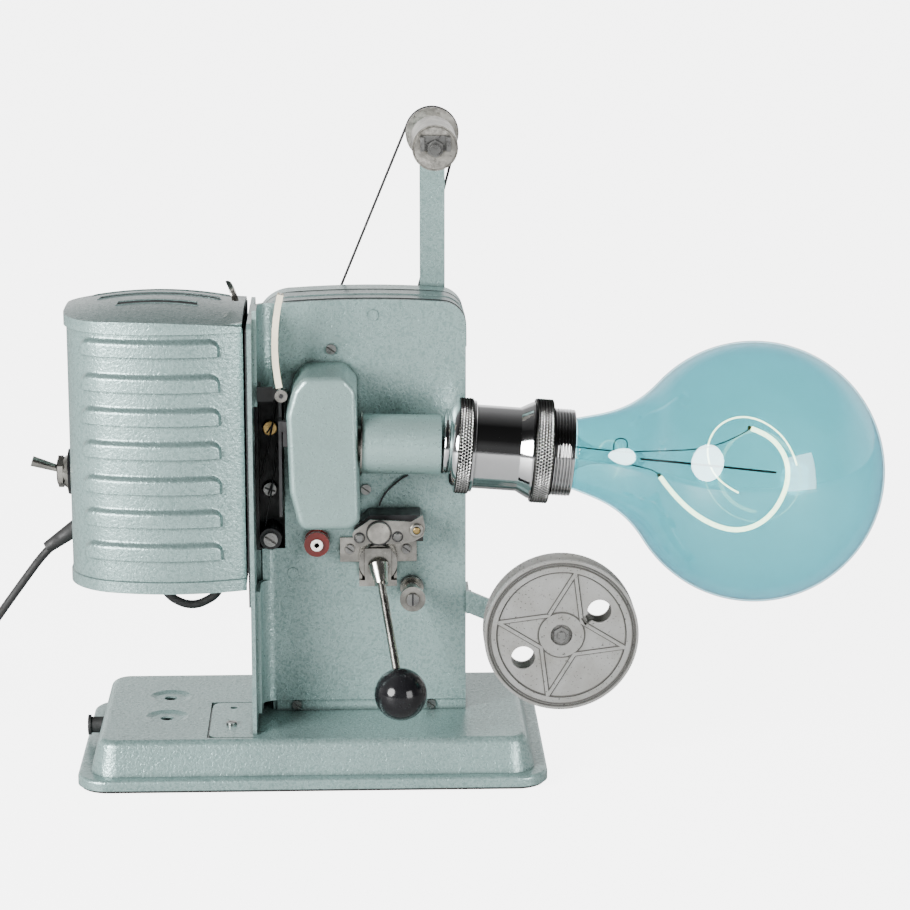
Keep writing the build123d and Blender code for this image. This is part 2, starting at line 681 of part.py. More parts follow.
def red_roller():
    roller = rod_y(6.1, -18.4, -15.6, 2.4, 110) + rod_y(4.4, -15.6, -12.0, 2.4, 110)
    roller += rod_y(6.1, -12.0, -9.4, 2.4, 110)
    return roller - rod_y(1.96, -20, -8, 2.4, 110)


# ---- lamp house ----
def house_outline(grow=0.0, x_right=-31.0):
    """Plan of the lamp house: bowed front and back, flat left end, open right end."""
    x = HOUSE_X0
    y = HOUSE_MID_Y
    g = grow
    s = g * 0.7
    lines = [
        Line((x_right, y + 38 + g), (x_right, y - 38 - g)),
        ThreePointArc((x_right, y - 38 - g), (-66, y - 44.6 - g), (x + 19, y - 39.5 - g)),
        ThreePointArc((x + 19, y - 39.5 - g), (x + 6.2 - s, y - 29.5 - s), (x - g, y - 13)),
        Line((x - g, y - 13), (x - g, y + 13)),
        ThreePointArc((x - g, y + 13), (x + 6.2 - s, y + 29.5 + s), (x + 19, y + 39.5 + g)),
        ThreePointArc((x + 19, y + 39.5 + g), (-66, y + 44.6 + g), (x_right, y + 38 + g)),
    ]
    return make_face(Curve() + lines)


def house_prism(z0, z1, grow=0.0, x_right=-31.0):
    return extrude(Pos(0, 0, z0) * house_outline(grow, x_right), z1 - z0)


LOUVRE_TOPS = [216.7, 200.0, 184.0, 167.9, 151.0, 134.9, 118.7]


def lamp_house_wall():
    wall = house_prism(HOUSE_Z0, HOUSE_Z1) - house_prism(90, 230, -SHEET, -30)
    wall += house_prism(HOUSE_Z0, HOUSE_Z0 + 6, 0.7) - house_prism(90, 110, 0.0, -30)
    for top in LOUVRE_TOPS:
        reach = block(-107, -42, -60, 60, top - 8.8, top)
        open_below = block(-105.5, -43.5, -60, 60, top - 9.8, top - 1.3)
        hood = (house_prism(top - 8.8, top, 2.2) - house_prism(90, 230, 0.0, -30)) & reach
        slot = (house_prism(top - 9.8, top - 1.3, 1.1) - house_prism(90, 230, -2.0, -30)) & open_below
        wall = wall + hood - slot
    wall -= rod_x(5.9, -120, -112, HOUSE_MID_Y, 144)
    wall -= rod_x(4.25, -120, -106, 20, 110)
    return wall


def lamp_house_floor():
    floor = house_prism(HOUSE_Z0 + 1, HOUSE_Z0 + 2.2, -SHEET - 0.1, -31.0)
    for x in LOOP_X:
        floor -= rod_z(2.3, 90, 100, x, 14)
    for n in range(3):
        floor -= block(-105 + 20 * n, -93 + 20 * n, -26, -22, 90, 100)
    return floor


DOME_R = 205.0


def lamp_lid():
    """Slightly domed lid with a turned-down rim outside the wall."""
    dome = Pos(-74, HOUSE_MID_Y, 230.2 - DOME_R)
    lid = house_prism(219.4, 233, 1.3, -31.4) & (dome * Sphere(DOME_R))
    space = house_prism(219, 233, 0.4, -30.0) & (dome * Sphere(DOME_R - 1.2))
    space &= house_prism(219, 229, 0.4, -30.0)
    space += house_prism(219, 221.3, 0.4, -30.0)
    lid -= space
    lid += house_prism(221.4, 223.2, -1.0, -31.4) - house_prism(221, 224, -3.0, -34.4)
    for y0, half in ((-16, 19), (4, 29), (23, 33)):
        ring = rod_z(122.7, 215, 240, -72, y0 - 120) - rod_z(117.3, 215, 240, -72, y0 - 120)
        lid -= ring & block(-72 - half, -72 + half, -60, 60, 215, 240)
    return lid


def lid_clip():
    """Small upright finger tab riveted to the lid's right end."""
    foot = block(-40, -32.4, -14, -7, 226.6, 229.4) - lamp_lid()
    foot = foot.solids().sort_by(Axis.Z)[-1]
    tab = block(-34.2, -33.0, -14, -7, 229.0, 239.0)
    return foot + tab


SWITCH_AT = (HOUSE_MID_Y, 144.0)


def switch_body():
    x = HOUSE_X0 + SHEET
    y, z = SWITCH_AT
    body = block(x, x + 19.8, y - 8, y + 8, z - 13, z + 13)
    body -= block(x - 1, x + 9.8, y - 1.6, y + 1.6, z - 9, z + 9)
    return body + (rod_x(5.8, x - 8.7, x, y, z) - rod_x(3.9, x - 9.7, x + 5.8, y, z))


def switch_nut():
    """Black washer, cone washer and hex nut on the switch's bush."""
    x = HOUSE_X0
    y, z = SWITCH_AT
    washer = rod_x(11.0, x - 2.0, x, y, z)
    cone = Pos(x - 3.2, y, z) * Rot(0, -90, 0) * Cone(8.6, 6.9, 2.4)
    nut = extrude(Plane(origin=(x - 4.4, y, z), z_dir=(-1, 0, 0)) * RegularPolygon(8.0, 6), 2.6)
    return washer + cone + nut - rod_x(5.8, x - 9, x + 2, y, z)


def switch_lever():
    """Toggle: a ball in the bush and a lever that thickens to its end."""
    y, z = SWITCH_AT
    pivot = Pos(HOUSE_X0 - 2.5, y, z)
    stick = pivot * Rot(0, -90 + 17, 0) * Pos(0, 0, 9.5) * Cone(1.5, 2.6, 17.0)
    tail = pivot * Rot(0, 90 + 17, 0) * Pos(0, 0, 5.0) * Cylinder(1.1, 8.0)
    return pivot * Sphere(3.3) + stick + tail


# ---- leads and mains cord ----
def fillet_tube(points, radii, d):
    """A round lead along straight runs joined by tangent arcs."""
    path = FilletPolyline(*points, radius=radii)
    section = Plane(origin=path @ 0, z_dir=path % 0) * Circle(d / 2)
    return sweep(section, path=path)


def join_radii(points, share=0.45):
    """Arc radius at each corner from the shorter of its two runs."""
    radii = []
    for a, b, c in zip(points, points[1:], points[2:]):
        va = Vector(*b) - Vector(*a)
        vb = Vector(*c) - Vector(*b)
        half = radians(va.get_angle(vb)) / 2
        radii.append(round(share * min(va.length, vb.length) / tan(half), 2))
    return radii


# The lead runs from the switch, in a loop under the lamp house, through the divider and the
# casing, and by way of the gate block and lens tube to the lampholder.
LEAD = [
    (-94.0, -3, 140), (-83.0, 1, 134), (-80.5, 12.5, 121), (LOOP_X[0], 14, 106), (LOOP_X[0], 14, 92),
    (-74.0, 14, 77.0), (-60.2, 14, 69.8), (-46.4, 14, 77.0), (LOOP_X[1], 14, 90), (LOOP_X[1], 14, 118),
    (-8.0, 14, 118), (LEAD_X, 3, 134.5), (LEAD_X, 3, LENS_Z), (LEAD_X, LENS_Y, LENS_Z),
    (62.0, LENS_Y, LENS_Z), (76.9, LENS_Y, 161.75),
]


def lamp_lead():
    radii = join_radii(LEAD)
    print("lamp lead radii", radii)
    return fillet_tube(LEAD, radii, CORD_D)


# The cord leaves the lamp house low on its left end, behind the switch, and droops to the table.
CORD = [
    (-120.6, 20.0, 107.5), (-130.8, 20.5, 100.3), (-144.0, 22.0, 82.5), (-161.0, 26.0, 58.5),
    (-174.0, 28.5, 38.0), (-187.0, 31.5, 19.0), (-203.0, 37.0, 6.0), (-222.0, 46.0, 2.1),
    (-237.0, 62.0, 2.1), (-241.3, 77.0, 2.1),
]
CORD_LENGTH = 1800.0


def cord_run():
    radii = join_radii(CORD)
    print("cord radii", radii)
    run = FilletPolyline(*CORD, radius=radii)
    print("cord run", round(run.length, 1), "mm of", CORD_LENGTH)
    return fillet_tube(CORD, radii, CORD_D)


def cord_gland():
    """Black rubber gland with a tapered tail on the lamp house's left end."""
    head = rod_x(4.2, -117.6, -107.6, 20, 110)
    start = Vector(-117.1, 20, 110)
    toward = (Vector(*CORD[1]) - start).normalized()
    tail = Plane(origin=start, z_dir=toward).location * Pos(0, 0, 9.0) * Cone(4.2, 3.0, 18.0)
    gland = head + tail
    lead = Vector(*CORD[1]) - Vector(*CORD[0])
    run = Plane(origin=Vector(*CORD[0]), z_dir=lead).location
    return gland - run * Pos(0, 0, 20) * Cylinder(CORD_D / 2, 40.0)


TAIL = [(-238.8, 84, 12.6), (-240.0, 95, 12.0), (-241.0, 107, 7.6), (-241.0, 116, 5.2)]


def cord_coil():
    """The rest of the cord, in a neat flat coil: one solid of its outer shape, with its tail."""
    x, y = COIL_AT
    half = COIL_TURNS * CORD_D / 2 + 0.3
    height = COIL_LAYERS * CORD_D + 0.2
    coil = rod_z(COIL_R + half, 0.0, height, x, y) - rod_z(COIL_R - half, -1, height + 1, x, y)
    coil = fillet(coil.edges().group_by(Axis.Z)[-1], 2.0)
    return coil + fillet_tube(TAIL, join_radii(TAIL), CORD_D)


def plug_body():
    """Flat two-pin plug lying beside the coil."""
    x, y = PLUG_AT
    body = block(x - 13, x + 13, y, y + 30, 0.0, 13.4)
    body = fillet(body.edges().filter_by(Axis.Z), 6.0)
    body = fillet(body.faces().sort_by(Axis.Z)[-1].edges(), 2.5)
    neck = Pos(x, y - 6.0, 5.2) * Rot(90, 0, 0) * Cone(5.0, 3.2, 12.4)
    body += neck
    for side in (-9.5, 9.5):
        body -= rod_y(2.0, y + 22, y + 40, x + side, 6.7)
    return body


def plug_pins():
    x, y = PLUG_AT
    pins = rod_y(2.0, y + 22, y + 49, x - 9.5, 6.7) + rod_y(2.0, y + 22, y + 49, x + 9.5, 6.7)
    return fillet(pins.edges().group_by(Axis.Y)[-1], 0.8)


def slotted_screws():
    """Every slotted screw: plates, liner, feed arm, covers and brackets."""
    screws = []
    for x, z in FRONT_SCREWS:
        screws.append(slot_screw(2.5, 1.6, 3.0, x, z, -9))
    for x in (-8.4, 57.9):
        screws.append(slot_screw(2.3, 1.3, 2.5, x, 25.7, -7.5))
    for x, z in ((18.4, 105.8), (46.0, 105.6)):
        screws.append(slot_screw(2.2, 1.5, 3.5, x, z, -10.5))
    screws.append(slot_screw(3.6, 2.0, 1.5, -20.1, 163.2, 5.5))
    screws.append(slot_screw(3.6, 2.0, 1.5, -20.5, 132.6, 5.5))
    screws.append(slot_screw(3.4, 2.0, 5.0, -20.0, 111.4, -12.0))
    turn = Rot(0, 0, 180)
    for x, z, y in ((60.0, 192, 36.5), (60.0, 214, 36.5), (-14, 40, 34), (62, 40, 34)):
        screws.append(Pos(x, y, z) * turn * slot_screw(2.5, 1.5, 3.5, 0, 0, 0))
    down = Pos(-39.8, -29, DECK_Z) * Rot(-90, 0, 0)
    screws.append(down * slot_screw(2.6, 1.2, 3.5, 0, 0, 0))
    side = Pos(76.6, 0, 79) * Rot(0, 0, 90)
    screws.append(side * slot_screw(2.5, 1.4, 4.0, 0, 0, 0))
    out = screws[0]
    for screw in screws[1:]:
        out += screw
    return out


for part in (
    base_pad, base_pan, cable_bush, divider_plate, heat_shield, casing_shell, rear_cover,
    front_plate, gate_liner, gate_strip, gate_block, gate_latch, gate_lever, lever_sleeve,
    lever_bracket, lens_tube, lens_ring, holder_cap, holder_barrel, shade_ring, holder_insulator,
    holder_screw_shell, holder_contact, bulb_glass, bulb_cap, bulb_stem, bulb_filament, feed_arm,
    feed_hub, feed_spindle, feed_pulley, drive_pulley, feed_belt, takeup_arm, takeup_reel,
    takeup_spindle, mechanism_plate, mechanism_block, mechanism_face, lever_housing, lever_hub,
    lever_rod, lever_ball, roller_pins, guide_roller, red_roller, lamp_house_wall,
    lamp_house_floor, lamp_lid, lid_clip, switch_body, switch_nut, switch_lever, lamp_lead,
    cord_run, cord_gland, cord_coil, plug_body, plug_pins, slotted_screws,
):
    save(part.__name__, part())
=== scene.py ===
import bpy
import json
from math import atan2, cos, pi, radians, sin, sqrt
from mathutils import Matrix, Vector


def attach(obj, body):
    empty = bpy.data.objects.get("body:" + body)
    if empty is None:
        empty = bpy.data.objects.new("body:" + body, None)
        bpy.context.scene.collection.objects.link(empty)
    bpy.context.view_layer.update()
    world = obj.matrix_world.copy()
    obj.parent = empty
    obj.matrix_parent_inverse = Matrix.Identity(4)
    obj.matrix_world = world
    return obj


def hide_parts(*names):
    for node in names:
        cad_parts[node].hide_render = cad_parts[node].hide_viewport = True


# Looks for the film projector lamp: metres, in the frame of the CAD model.
# Origin: centre of the underside. +X to the globe, +Y to the back, +Z up.

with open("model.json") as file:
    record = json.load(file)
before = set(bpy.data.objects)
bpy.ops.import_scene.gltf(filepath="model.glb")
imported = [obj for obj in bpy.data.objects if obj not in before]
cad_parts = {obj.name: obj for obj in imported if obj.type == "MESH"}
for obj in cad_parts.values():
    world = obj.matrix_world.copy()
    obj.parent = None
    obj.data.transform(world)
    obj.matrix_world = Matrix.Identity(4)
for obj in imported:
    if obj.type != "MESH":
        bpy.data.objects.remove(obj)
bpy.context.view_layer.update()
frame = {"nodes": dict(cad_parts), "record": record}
NODES = frame["nodes"]
MM = 0.001

# ---- driving sizes in millimetres and degrees; places and overall sizes match the CAD model ----
HOLDER_AT = (62.0, -32.6, 162.9)
HOLDER_TILT = 4.5
HOLDER_LEN = 62.9
BULB_TILT = 6.3
GLOBE_R = 62.5
GLOBE_C = 87.8
HOUSE_X0 = -115.6
HOUSE_Z0 = 94.0
HOUSE_Z1 = 221.0
HOUSE_MID_Y = -3.0
SWITCH_Z = 144.0
LOUVRE_TOPS = [216.7, 200.0, 184.0, 167.9, 151.0, 134.9, 118.7]
LOUVRE_X0 = -107.6
LOUVRE_X1 = -41.6
LOUVRE_H = 8.6
LOUVRE_LIFT = 2.15
LID_MID_X = -74.0
LID_TOP = 230.2
LID_DOME_R = 205.0
LID_SLOTS = [(-16, 19), (4, 29), (23, 33)]      # front-to-back place, half length
SLOT_MID_X = -72.0
SLOT_BEND_R = 120.0
REEL_AT = (120.3, 68.2)
STAR_OUT_R = 31.4
STAR_IN_R = 11.6
STAR_TOP = 78.0         # angle of the first tip
STAR_TIPS = 4
CORD_D = 4.2
COIL_AT = (-212.0, 84.0)
COIL_R = 22.6           # middle of the turns
COIL_TURNS = 3          # side by side, which sets how wide the coil's ring is
COIL_LAYERS = 4


def mm(x, y, z):
    return Vector((x * MM, y * MM, z * MM))


# ---- camera ----
CAMERA_AT = (0.0208, -1.4096, 0.4755)
CAMERA_AZIMUTH = -2.0
CAMERA_ELEVATION = 13.0
CAMERA_LENS = 117.3


def make_camera():
    data = bpy.data.cameras.new("camera")
    data.lens = CAMERA_LENS
    data.sensor_width = 36.0
    camera = bpy.data.objects.new("camera", data)
    bpy.context.scene.collection.objects.link(camera)
    azimuth = radians(CAMERA_AZIMUTH)
    elevation = radians(CAMERA_ELEVATION)
    look = Vector((-sin(azimuth) * cos(elevation), cos(azimuth) * cos(elevation), -sin(elevation)))
    camera.location = CAMERA_AT
    camera.rotation_euler = look.to_track_quat("-Z", "Y").to_euler()
    bpy.context.scene.camera = camera


# ---- building helpers ----
def link(name, data):
    obj = bpy.data.objects.new(name, data)
    bpy.context.scene.collection.objects.link(obj)
    return obj


def mesh_object(name, verts, faces, material, smooth=True, edge=None):
    mesh = bpy.data.meshes.new(name)
    mesh.from_pydata([tuple(v) for v in verts], [], faces)
    mesh.update()
    if smooth:
        mesh.polygons.foreach_set("use_smooth", [True] * len(mesh.polygons))
    if edge:
        mesh.set_sharp_from_angle(angle=radians(edge))
    mesh.materials.append(material)
    return link(name, mesh)


def lathe(name, profile, place, material, steps=96, edge=30):
    """A turned piece about the local X axis; profile is (along, radius) in millimetres."""
    verts = []
    faces = []
    count = len(profile)
    for s in range(steps):
        a = 2 * pi * s / steps
        for along, r in profile:
            verts.append(place @ mm(along, r * cos(a), r * sin(a)))
    for s in range(steps):
        t = (s + 1) % steps
        for i in range(count):
            j = (i + 1) % count
            faces.append((s * count + i, s * count + j, t * count + j, t * count + i))
    return mesh_object(name, verts, faces, material, edge=edge)


def tilted(at, degrees):
    """Placement whose X axis droops by the given angle."""
    return Matrix.Translation(mm(*at)) @ Matrix.Rotation(radians(degrees), 4, "Y")


HOLDER = tilted(HOLDER_AT, HOLDER_TILT)
MOUTH = (
    HOLDER_AT[0] + HOLDER_LEN * cos(radians(HOLDER_TILT)),
    HOLDER_AT[1],
    HOLDER_AT[2] - HOLDER_LEN * sin(radians(HOLDER_TILT)),
)
BULB = tilted(MOUTH, BULB_TILT)


# ---- materials ----
class Look:
    """A node material built up from small steps."""

    def __init__(self, name):
        self.material = bpy.data.materials.new(name)
        self.material.use_nodes = True
        self.nodes = self.material.node_tree.nodes
        self.links = self.material.node_tree.links
        self.shader = self.nodes["Principled BSDF"]
        self.place = self.nodes.new("ShaderNodeTexCoord").outputs["Object"]

    def set(self, **values):
        for name, value in values.items():
            self.shader.inputs[name.replace("_", " ")].default_value = value
        return self

    def join(self, source, target):
        self.links.new(source, target)

    def noise(self, scale, detail=3.0, rough=0.55, distortion=0.0):
        node = self.nodes.new("ShaderNodeTexNoise")
        node.inputs["Scale"].default_value = scale
        node.inputs["Detail"].default_value = detail
        node.inputs["Roughness"].default_value = rough
        node.inputs["Distortion"].default_value = distortion
        self.join(self.place, node.inputs["Vector"])
        return node.outputs["Fac"]

    def cells(self, scale):
        node = self.nodes.new("ShaderNodeTexVoronoi")
        node.inputs["Scale"].default_value = scale
        self.join(self.place, node.inputs["Vector"])
        return node.outputs["Distance"]

    def ramp(self, source, stops):
        node = self.nodes.new("ShaderNodeValToRGB")
        elements = node.color_ramp.elements
        while len(elements) < len(stops):
            elements.new(0.5)
        for element, (position, colour) in zip(elements, stops):
            element.position = position
            if not hasattr(colour, "__len__"):
                colour = (colour, colour, colour)
            element.color = (*colour, 1.0)
        self.join(source, node.inputs["Fac"])
        return node.outputs["Color"]

    def mix(self, factor, first, second, kind="MIX"):
        node = self.nodes.new("ShaderNodeMix")
        node.data_type = "RGBA"
        node.blend_type = kind
        slots = [s for s in node.inputs if s.type == "RGBA"]
        for slot, value in zip(slots, (first, second)):
            if hasattr(value, "is_linked"):
                self.join(value, slot)
            else:
                slot.default_value = (*value, 1.0)
        if hasattr(factor, "is_linked"):
            self.join(factor, node.inputs["Factor"])
        else:
            node.inputs["Factor"].default_value = factor
        return [s for s in node.outputs if s.type == "RGBA"][0]

    def edges(self, low, high):
        """White on edges that stand out, black in grooves, from the pointiness of the surface."""
        node = self.nodes.new("ShaderNodeNewGeometry")
        return self.ramp(node.outputs["Pointiness"], [(low, 0.0), (high, 1.0)])

    def painted_crevice_shade(self, body, reach, tone):
        """Painted shade: darken the body colour where surfaces meet closely, found by ambient occlusion."""
        node = self.nodes.new("ShaderNodeAmbientOcclusion")
        node.samples = 8
        node.inputs["Distance"].default_value = reach
        open_share = self.ramp(node.outputs["AO"], [(0.4, 0.0), (0.9, 1.0)])
        return self.mix(open_share, self.mix(1.0, body, tone, "MULTIPLY"), body)

    def shade_faces_looking_up(self, body, tone):
        """Painted shade: darken the body colour on faces that look up."""
        node = self.nodes.new("ShaderNodeNewGeometry")
        split = self.nodes.new("ShaderNodeSeparateXYZ")
        self.join(node.outputs["Normal"], split.inputs["Vector"])
        share = self.ramp(split.outputs["Z"], [(0.12, 0.0), (0.7, 1.0)])
        return self.mix(share, body, self.mix(1.0, body, tone, "MULTIPLY"))

    def colour(self, source):
        self.join(source, self.shader.inputs["Base Color"])
        return self

    def rough(self, source):
        self.join(source, self.shader.inputs["Roughness"])
        return self

    def bump(self, source, distance, strength):
        node = self.nodes.new("ShaderNodeBump")
        node.inputs["Distance"].default_value = distance
        node.inputs["Strength"].default_value = strength
        self.join(source, node.inputs["Height"])
        previous = self.shader.inputs["Normal"]
        if previous.is_linked:
            self.join(previous.links[0].from_socket, node.inputs["Normal"])
        self.join(node.outputs["Normal"], previous)
        return self


def hammer_paint(name, light, dark, wear=0.5, relief=1.0, top_shade=1.0):
    """Hammer finish: shallow cells, darker veins and chips, a painted highlight on edges that stand out and
    painted shade in crevices; a shade value under 1 paints shade on faces that look up.
    """
    look = Look(name).set(Metallic=0.55, Coat_Weight=0.25, Coat_Roughness=0.2)
    cells = look.noise(700.0, 2.0, 0.5, 0.5)
    veins = look.ramp(cells, [(0.36, 0.0), (0.54, 1.0)])
    body = look.mix(veins, dark, light)
    flake = look.ramp(look.noise(3200.0, 1.0), [(0.35, 0.90), (0.7, 1.08)])
    body = look.mix(1.0, body, flake, "MULTIPLY")
    cloud = look.ramp(look.noise(16.0, 5.0, 0.6), [(0.35, 0.84), (0.7, 1.0)])
    body = look.mix(1.0, body, cloud, "MULTIPLY")
    low = 0.735 - 0.02 * wear
    chips = look.ramp(look.noise(300.0, 5.0, 0.75), [(low, 0.0), (low + 0.015, 1.0)])
    body = look.mix(chips, body, (0.035, 0.035, 0.03))
    specks = look.ramp(look.noise(1300.0, 2.0), [(0.70, 0.0), (0.74, 0.6 * wear)])
    body = look.mix(specks, body, (0.06, 0.065, 0.06))
    # painted highlight: lighter paint on edges that stand out
    edge = look.edges(0.60, 0.72)
    body = look.mix(edge, body, tuple(min(1.0, c * 1.3) for c in light))
    # painted shade on faces that look up, as under a dark room overhead
    if top_shade < 1.0:
        body = look.shade_faces_looking_up(body, (top_shade, top_shade, top_shade))
    look.colour(look.painted_crevice_shade(body, 0.0035, (0.28, 0.29, 0.28)))
    look.rough(look.ramp(cells, [(0.3, 0.40), (0.7, 0.26)]))
    look.bump(cells, 0.00038 * relief, 0.7)
    return look.material


def metal(name, colour, rough, tone, scale=90.0):
    """Plain or plated metal with faint uneven patina and painted shade in crevices."""
    look = Look(name).set(Metallic=1.0)
    patina = look.noise(scale, 5.0, 0.6)
    worn = tuple(c * (1.0 - tone) for c in colour)
    body = look.mix(look.ramp(patina, [(0.38, 0.0), (0.66, 1.0)]), worn, colour)
    look.colour(look.painted_crevice_shade(body, 0.0016, (0.32, 0.32, 0.31)))
    look.rough(look.ramp(look.noise(scale * 3.1, 4.0), [(0.3, rough * 0.75), (0.7, rough * 1.3)]))
    look.bump(look.noise(700.0, 3.0), 0.00004, 0.35)
    return look.material


def moulded(name, colour, rough, grain=0.3, coat=0.0, specular=0.5):
    """Plastic or rubber with a fine grain and handling marks."""
    look = Look(name).set(Coat_Weight=coat, Specular_IOR_Level=specular)
    marks = look.ramp(look.noise(60.0, 5.0), [(0.35, 0.0), (0.75, 1.0)])
    paler = tuple(min(1.0, c * 1.25 + 0.01) for c in colour)
    look.colour(look.mix(marks, colour, paler))
    look.rough(look.ramp(look.noise(210.0, 4.0), [(0.3, rough * 0.8), (0.7, min(1.0, rough * 1.35))]))
    look.bump(look.noise(1500.0, 3.0), 0.00005, grain)
    return look.material


def tinted_glass(name, stops, shine):
    """Thin tinted glass: stops give its tint from face on to edge on, shine how much it reflects."""
    look = Look(name)
    nodes = look.nodes
    nodes.remove(look.shader)
    weight = nodes.new("ShaderNodeLayerWeight")
    weight.inputs["Blend"].default_value = 0.5
    facing = weight.outputs["Facing"]
    smoke = look.ramp(look.noise(14.0, 3.0), [(0.3, 0.955), (0.7, 1.0)])
    tint = look.mix(1.0, look.ramp(facing, stops), smoke, "MULTIPLY")
    clear = nodes.new("ShaderNodeBsdfTransparent")
    look.join(tint, clear.inputs["Color"])
    gloss = nodes.new("ShaderNodeBsdfGlossy")
    gloss.inputs["Roughness"].default_value = 0.02
    gloss.inputs["Color"].default_value = (0.95, 0.98, 1.0, 1.0)
    steps = [(0.0, shine), (0.55, shine * 1.3), (0.85, shine * 3.0), (1.0, min(0.6, shine * 8))]
    amount = look.ramp(facing, steps)
    blend = nodes.new("ShaderNodeMixShader")
    look.join(amount, blend.inputs["Fac"])
    look.join(clear.outputs["BSDF"], blend.inputs[1])
    look.join(gloss.outputs["BSDF"], blend.inputs[2])
    look.join(blend.outputs["Shader"], nodes["Material Output"].inputs["Surface"])
    return look.material


def glowing(name, colour, strength):
    """A lit strip with a faint pattern of beads."""
    look = Look(name).set(Emission_Strength=strength, Roughness=0.6)
    beads = look.ramp(look.cells(900.0), [(0.2, 1.0), (0.8, 0.75)])
    tone = look.mix(1.0, colour, beads, "MULTIPLY")
    look.colour(tone)
    look.join(tone, look.shader.inputs["Emission Color"])
    return look.material


def cast_metal(name):
    """Cast aluminium with grain, stains and dark specks, and painted shade in crevices."""
    look = Look(name).set(Metallic=0.7)
    grain = look.noise(700.0, 4.0, 0.65)
    stain = look.ramp(look.noise(60.0, 5.0, 0.6), [(0.38, 0.0), (0.72, 1.0)])
    tone = look.mix(stain, (0.42, 0.42, 0.41), (0.31, 0.305, 0.28))
    specks = look.ramp(look.noise(900.0, 3.0), [(0.62, 0.0), (0.70, 1.0)])
    body = look.mix(specks, tone, (0.10, 0.10, 0.095))
    look.colour(look.painted_crevice_shade(body, 0.0016, (0.08, 0.078, 0.072)))
    look.rough(look.ramp(grain, [(0.3, 0.36), (0.7, 0.52)]))
    look.bump(grain, 0.00016, 0.6)
    return look.material


def knurled_metal(name):
    """Plated knurl with a painted highlight on its diamonds and painted shade in its grooves."""
    look = Look(name).set(Metallic=1.0, Roughness=0.22)
    relief = look.edges(0.49, 0.57)
    look.colour(look.mix(relief, (0.05, 0.05, 0.047), (0.80, 0.80, 0.79)))
    look.bump(look.noise(900.0, 3.0), 0.00003, 0.3)
    return look.material


PAINT_LIGHT = (0.315, 0.45, 0.435)
PAINT_DARK = (0.215, 0.322, 0.308)
# blue tint from face on to edge on; the lighter band near the rim is painted sheen and the near-black edge
# painted shade
BLUE_TINT_RIM_SHEEN_AND_SHADE = [
    (0.0, (0.46, 0.68, 0.70)), (0.55, (0.44, 0.66, 0.69)), (0.80, (0.50, 0.69, 0.73)),
    (0.93, (0.47, 0.59, 0.64)), (0.98, (0.03, 0.04, 0.05)),
]
CLEAR_TINT = [(0.0, (0.93, 0.97, 0.97)), (0.7, (0.86, 0.92, 0.93)), (1.0, (0.5, 0.6, 0.62))]
LOOKS = {
    "hammer_paint": hammer_paint("hammer_paint", PAINT_LIGHT, PAINT_DARK),
    # the same paint with painted shade on faces that look up
    "top_shaded_paint": hammer_paint("top_shaded_paint", PAINT_LIGHT, PAINT_DARK, top_shade=0.58),
    "smooth_paint": hammer_paint("smooth_paint", (0.305, 0.44, 0.42), (0.265, 0.39, 0.37), 0.3, 0.7),
    "black_paint": moulded("black_paint", (0.012, 0.012, 0.013), 0.42, 0.4),
    "felt": moulded("felt", (0.02, 0.02, 0.02), 0.95, 1.0),
    "rubber": moulded("rubber", (0.007, 0.007, 0.007), 0.6, 0.4),
    "nickel": metal("nickel", (0.58, 0.565, 0.52), 0.22, 0.5),
    "chrome": metal("chrome", (0.80, 0.80, 0.81), 0.07, 0.08, 40.0),
    "ceramic": moulded("ceramic", (0.80, 0.78, 0.73), 0.2, 0.2, 0.5),
    "brass": metal("brass", (0.72, 0.50, 0.20), 0.28, 0.3),
    "glass_blue": tinted_glass("glass_blue", BLUE_TINT_RIM_SHEEN_AND_SHADE, 0.06),
    "glass_clear": tinted_glass("glass_clear", CLEAR_TINT, 0.06),
    "filament": glowing("filament", (1.0, 0.64, 0.40), 22.0),
    "cast_alu": cast_metal("cast_alu"),
    # dark material for the painted shade lines on the reel
    "painted_shade": moulded("painted_shade", (0.06, 0.058, 0.052), 0.7, 0.4),
    "black_plastic": moulded("black_plastic", (0.004, 0.004, 0.005), 0.12, 0.08, 0.03, 0.3),
    "cream_plastic": moulded("cream_plastic", (0.76, 0.69, 0.52), 0.4, 0.2),
    "red_plastic": moulded("red_plastic", (0.085, 0.008, 0.006), 0.3, 0.2, 0.2),
    "steel": metal("steel", (0.42, 0.42, 0.41), 0.30, 0.4),
    "knurled": knurled_metal("knurled"),
    "worn_nickel": metal("worn_nickel", (0.60, 0.58, 0.53), 0.36, 0.4, 160.0),
}


def dress_nodes():
    """Every CAD node takes the material of its slot."""
    for part in frame["record"]["subparts"]:
        obj = NODES[part["node"]]
        material = LOOKS[part["material_slot"]]
        obj.data.materials.clear()
        obj.data.materials.append(material)
    for name in ("gate_block", "lens_tube"):
        NODES[name].data.materials[0] = LOOKS["smooth_paint"]
    # these take the paint with painted shade on faces that look up
    for name in ("lamp_lid", "casing_shell", "front_plate"):
        NODES[name].data.materials[0] = LOOKS["top_shaded_paint"]
    for name in ("feed_pulley", "feed_hub", "drive_pulley"):
        NODES[name].data.materials[0] = LOOKS["worn_nickel"]
    for name in ("gate_strip", "lever_bracket", "gate_latch"):
        NODES[name].data.materials[0] = LOOKS["black_paint"]


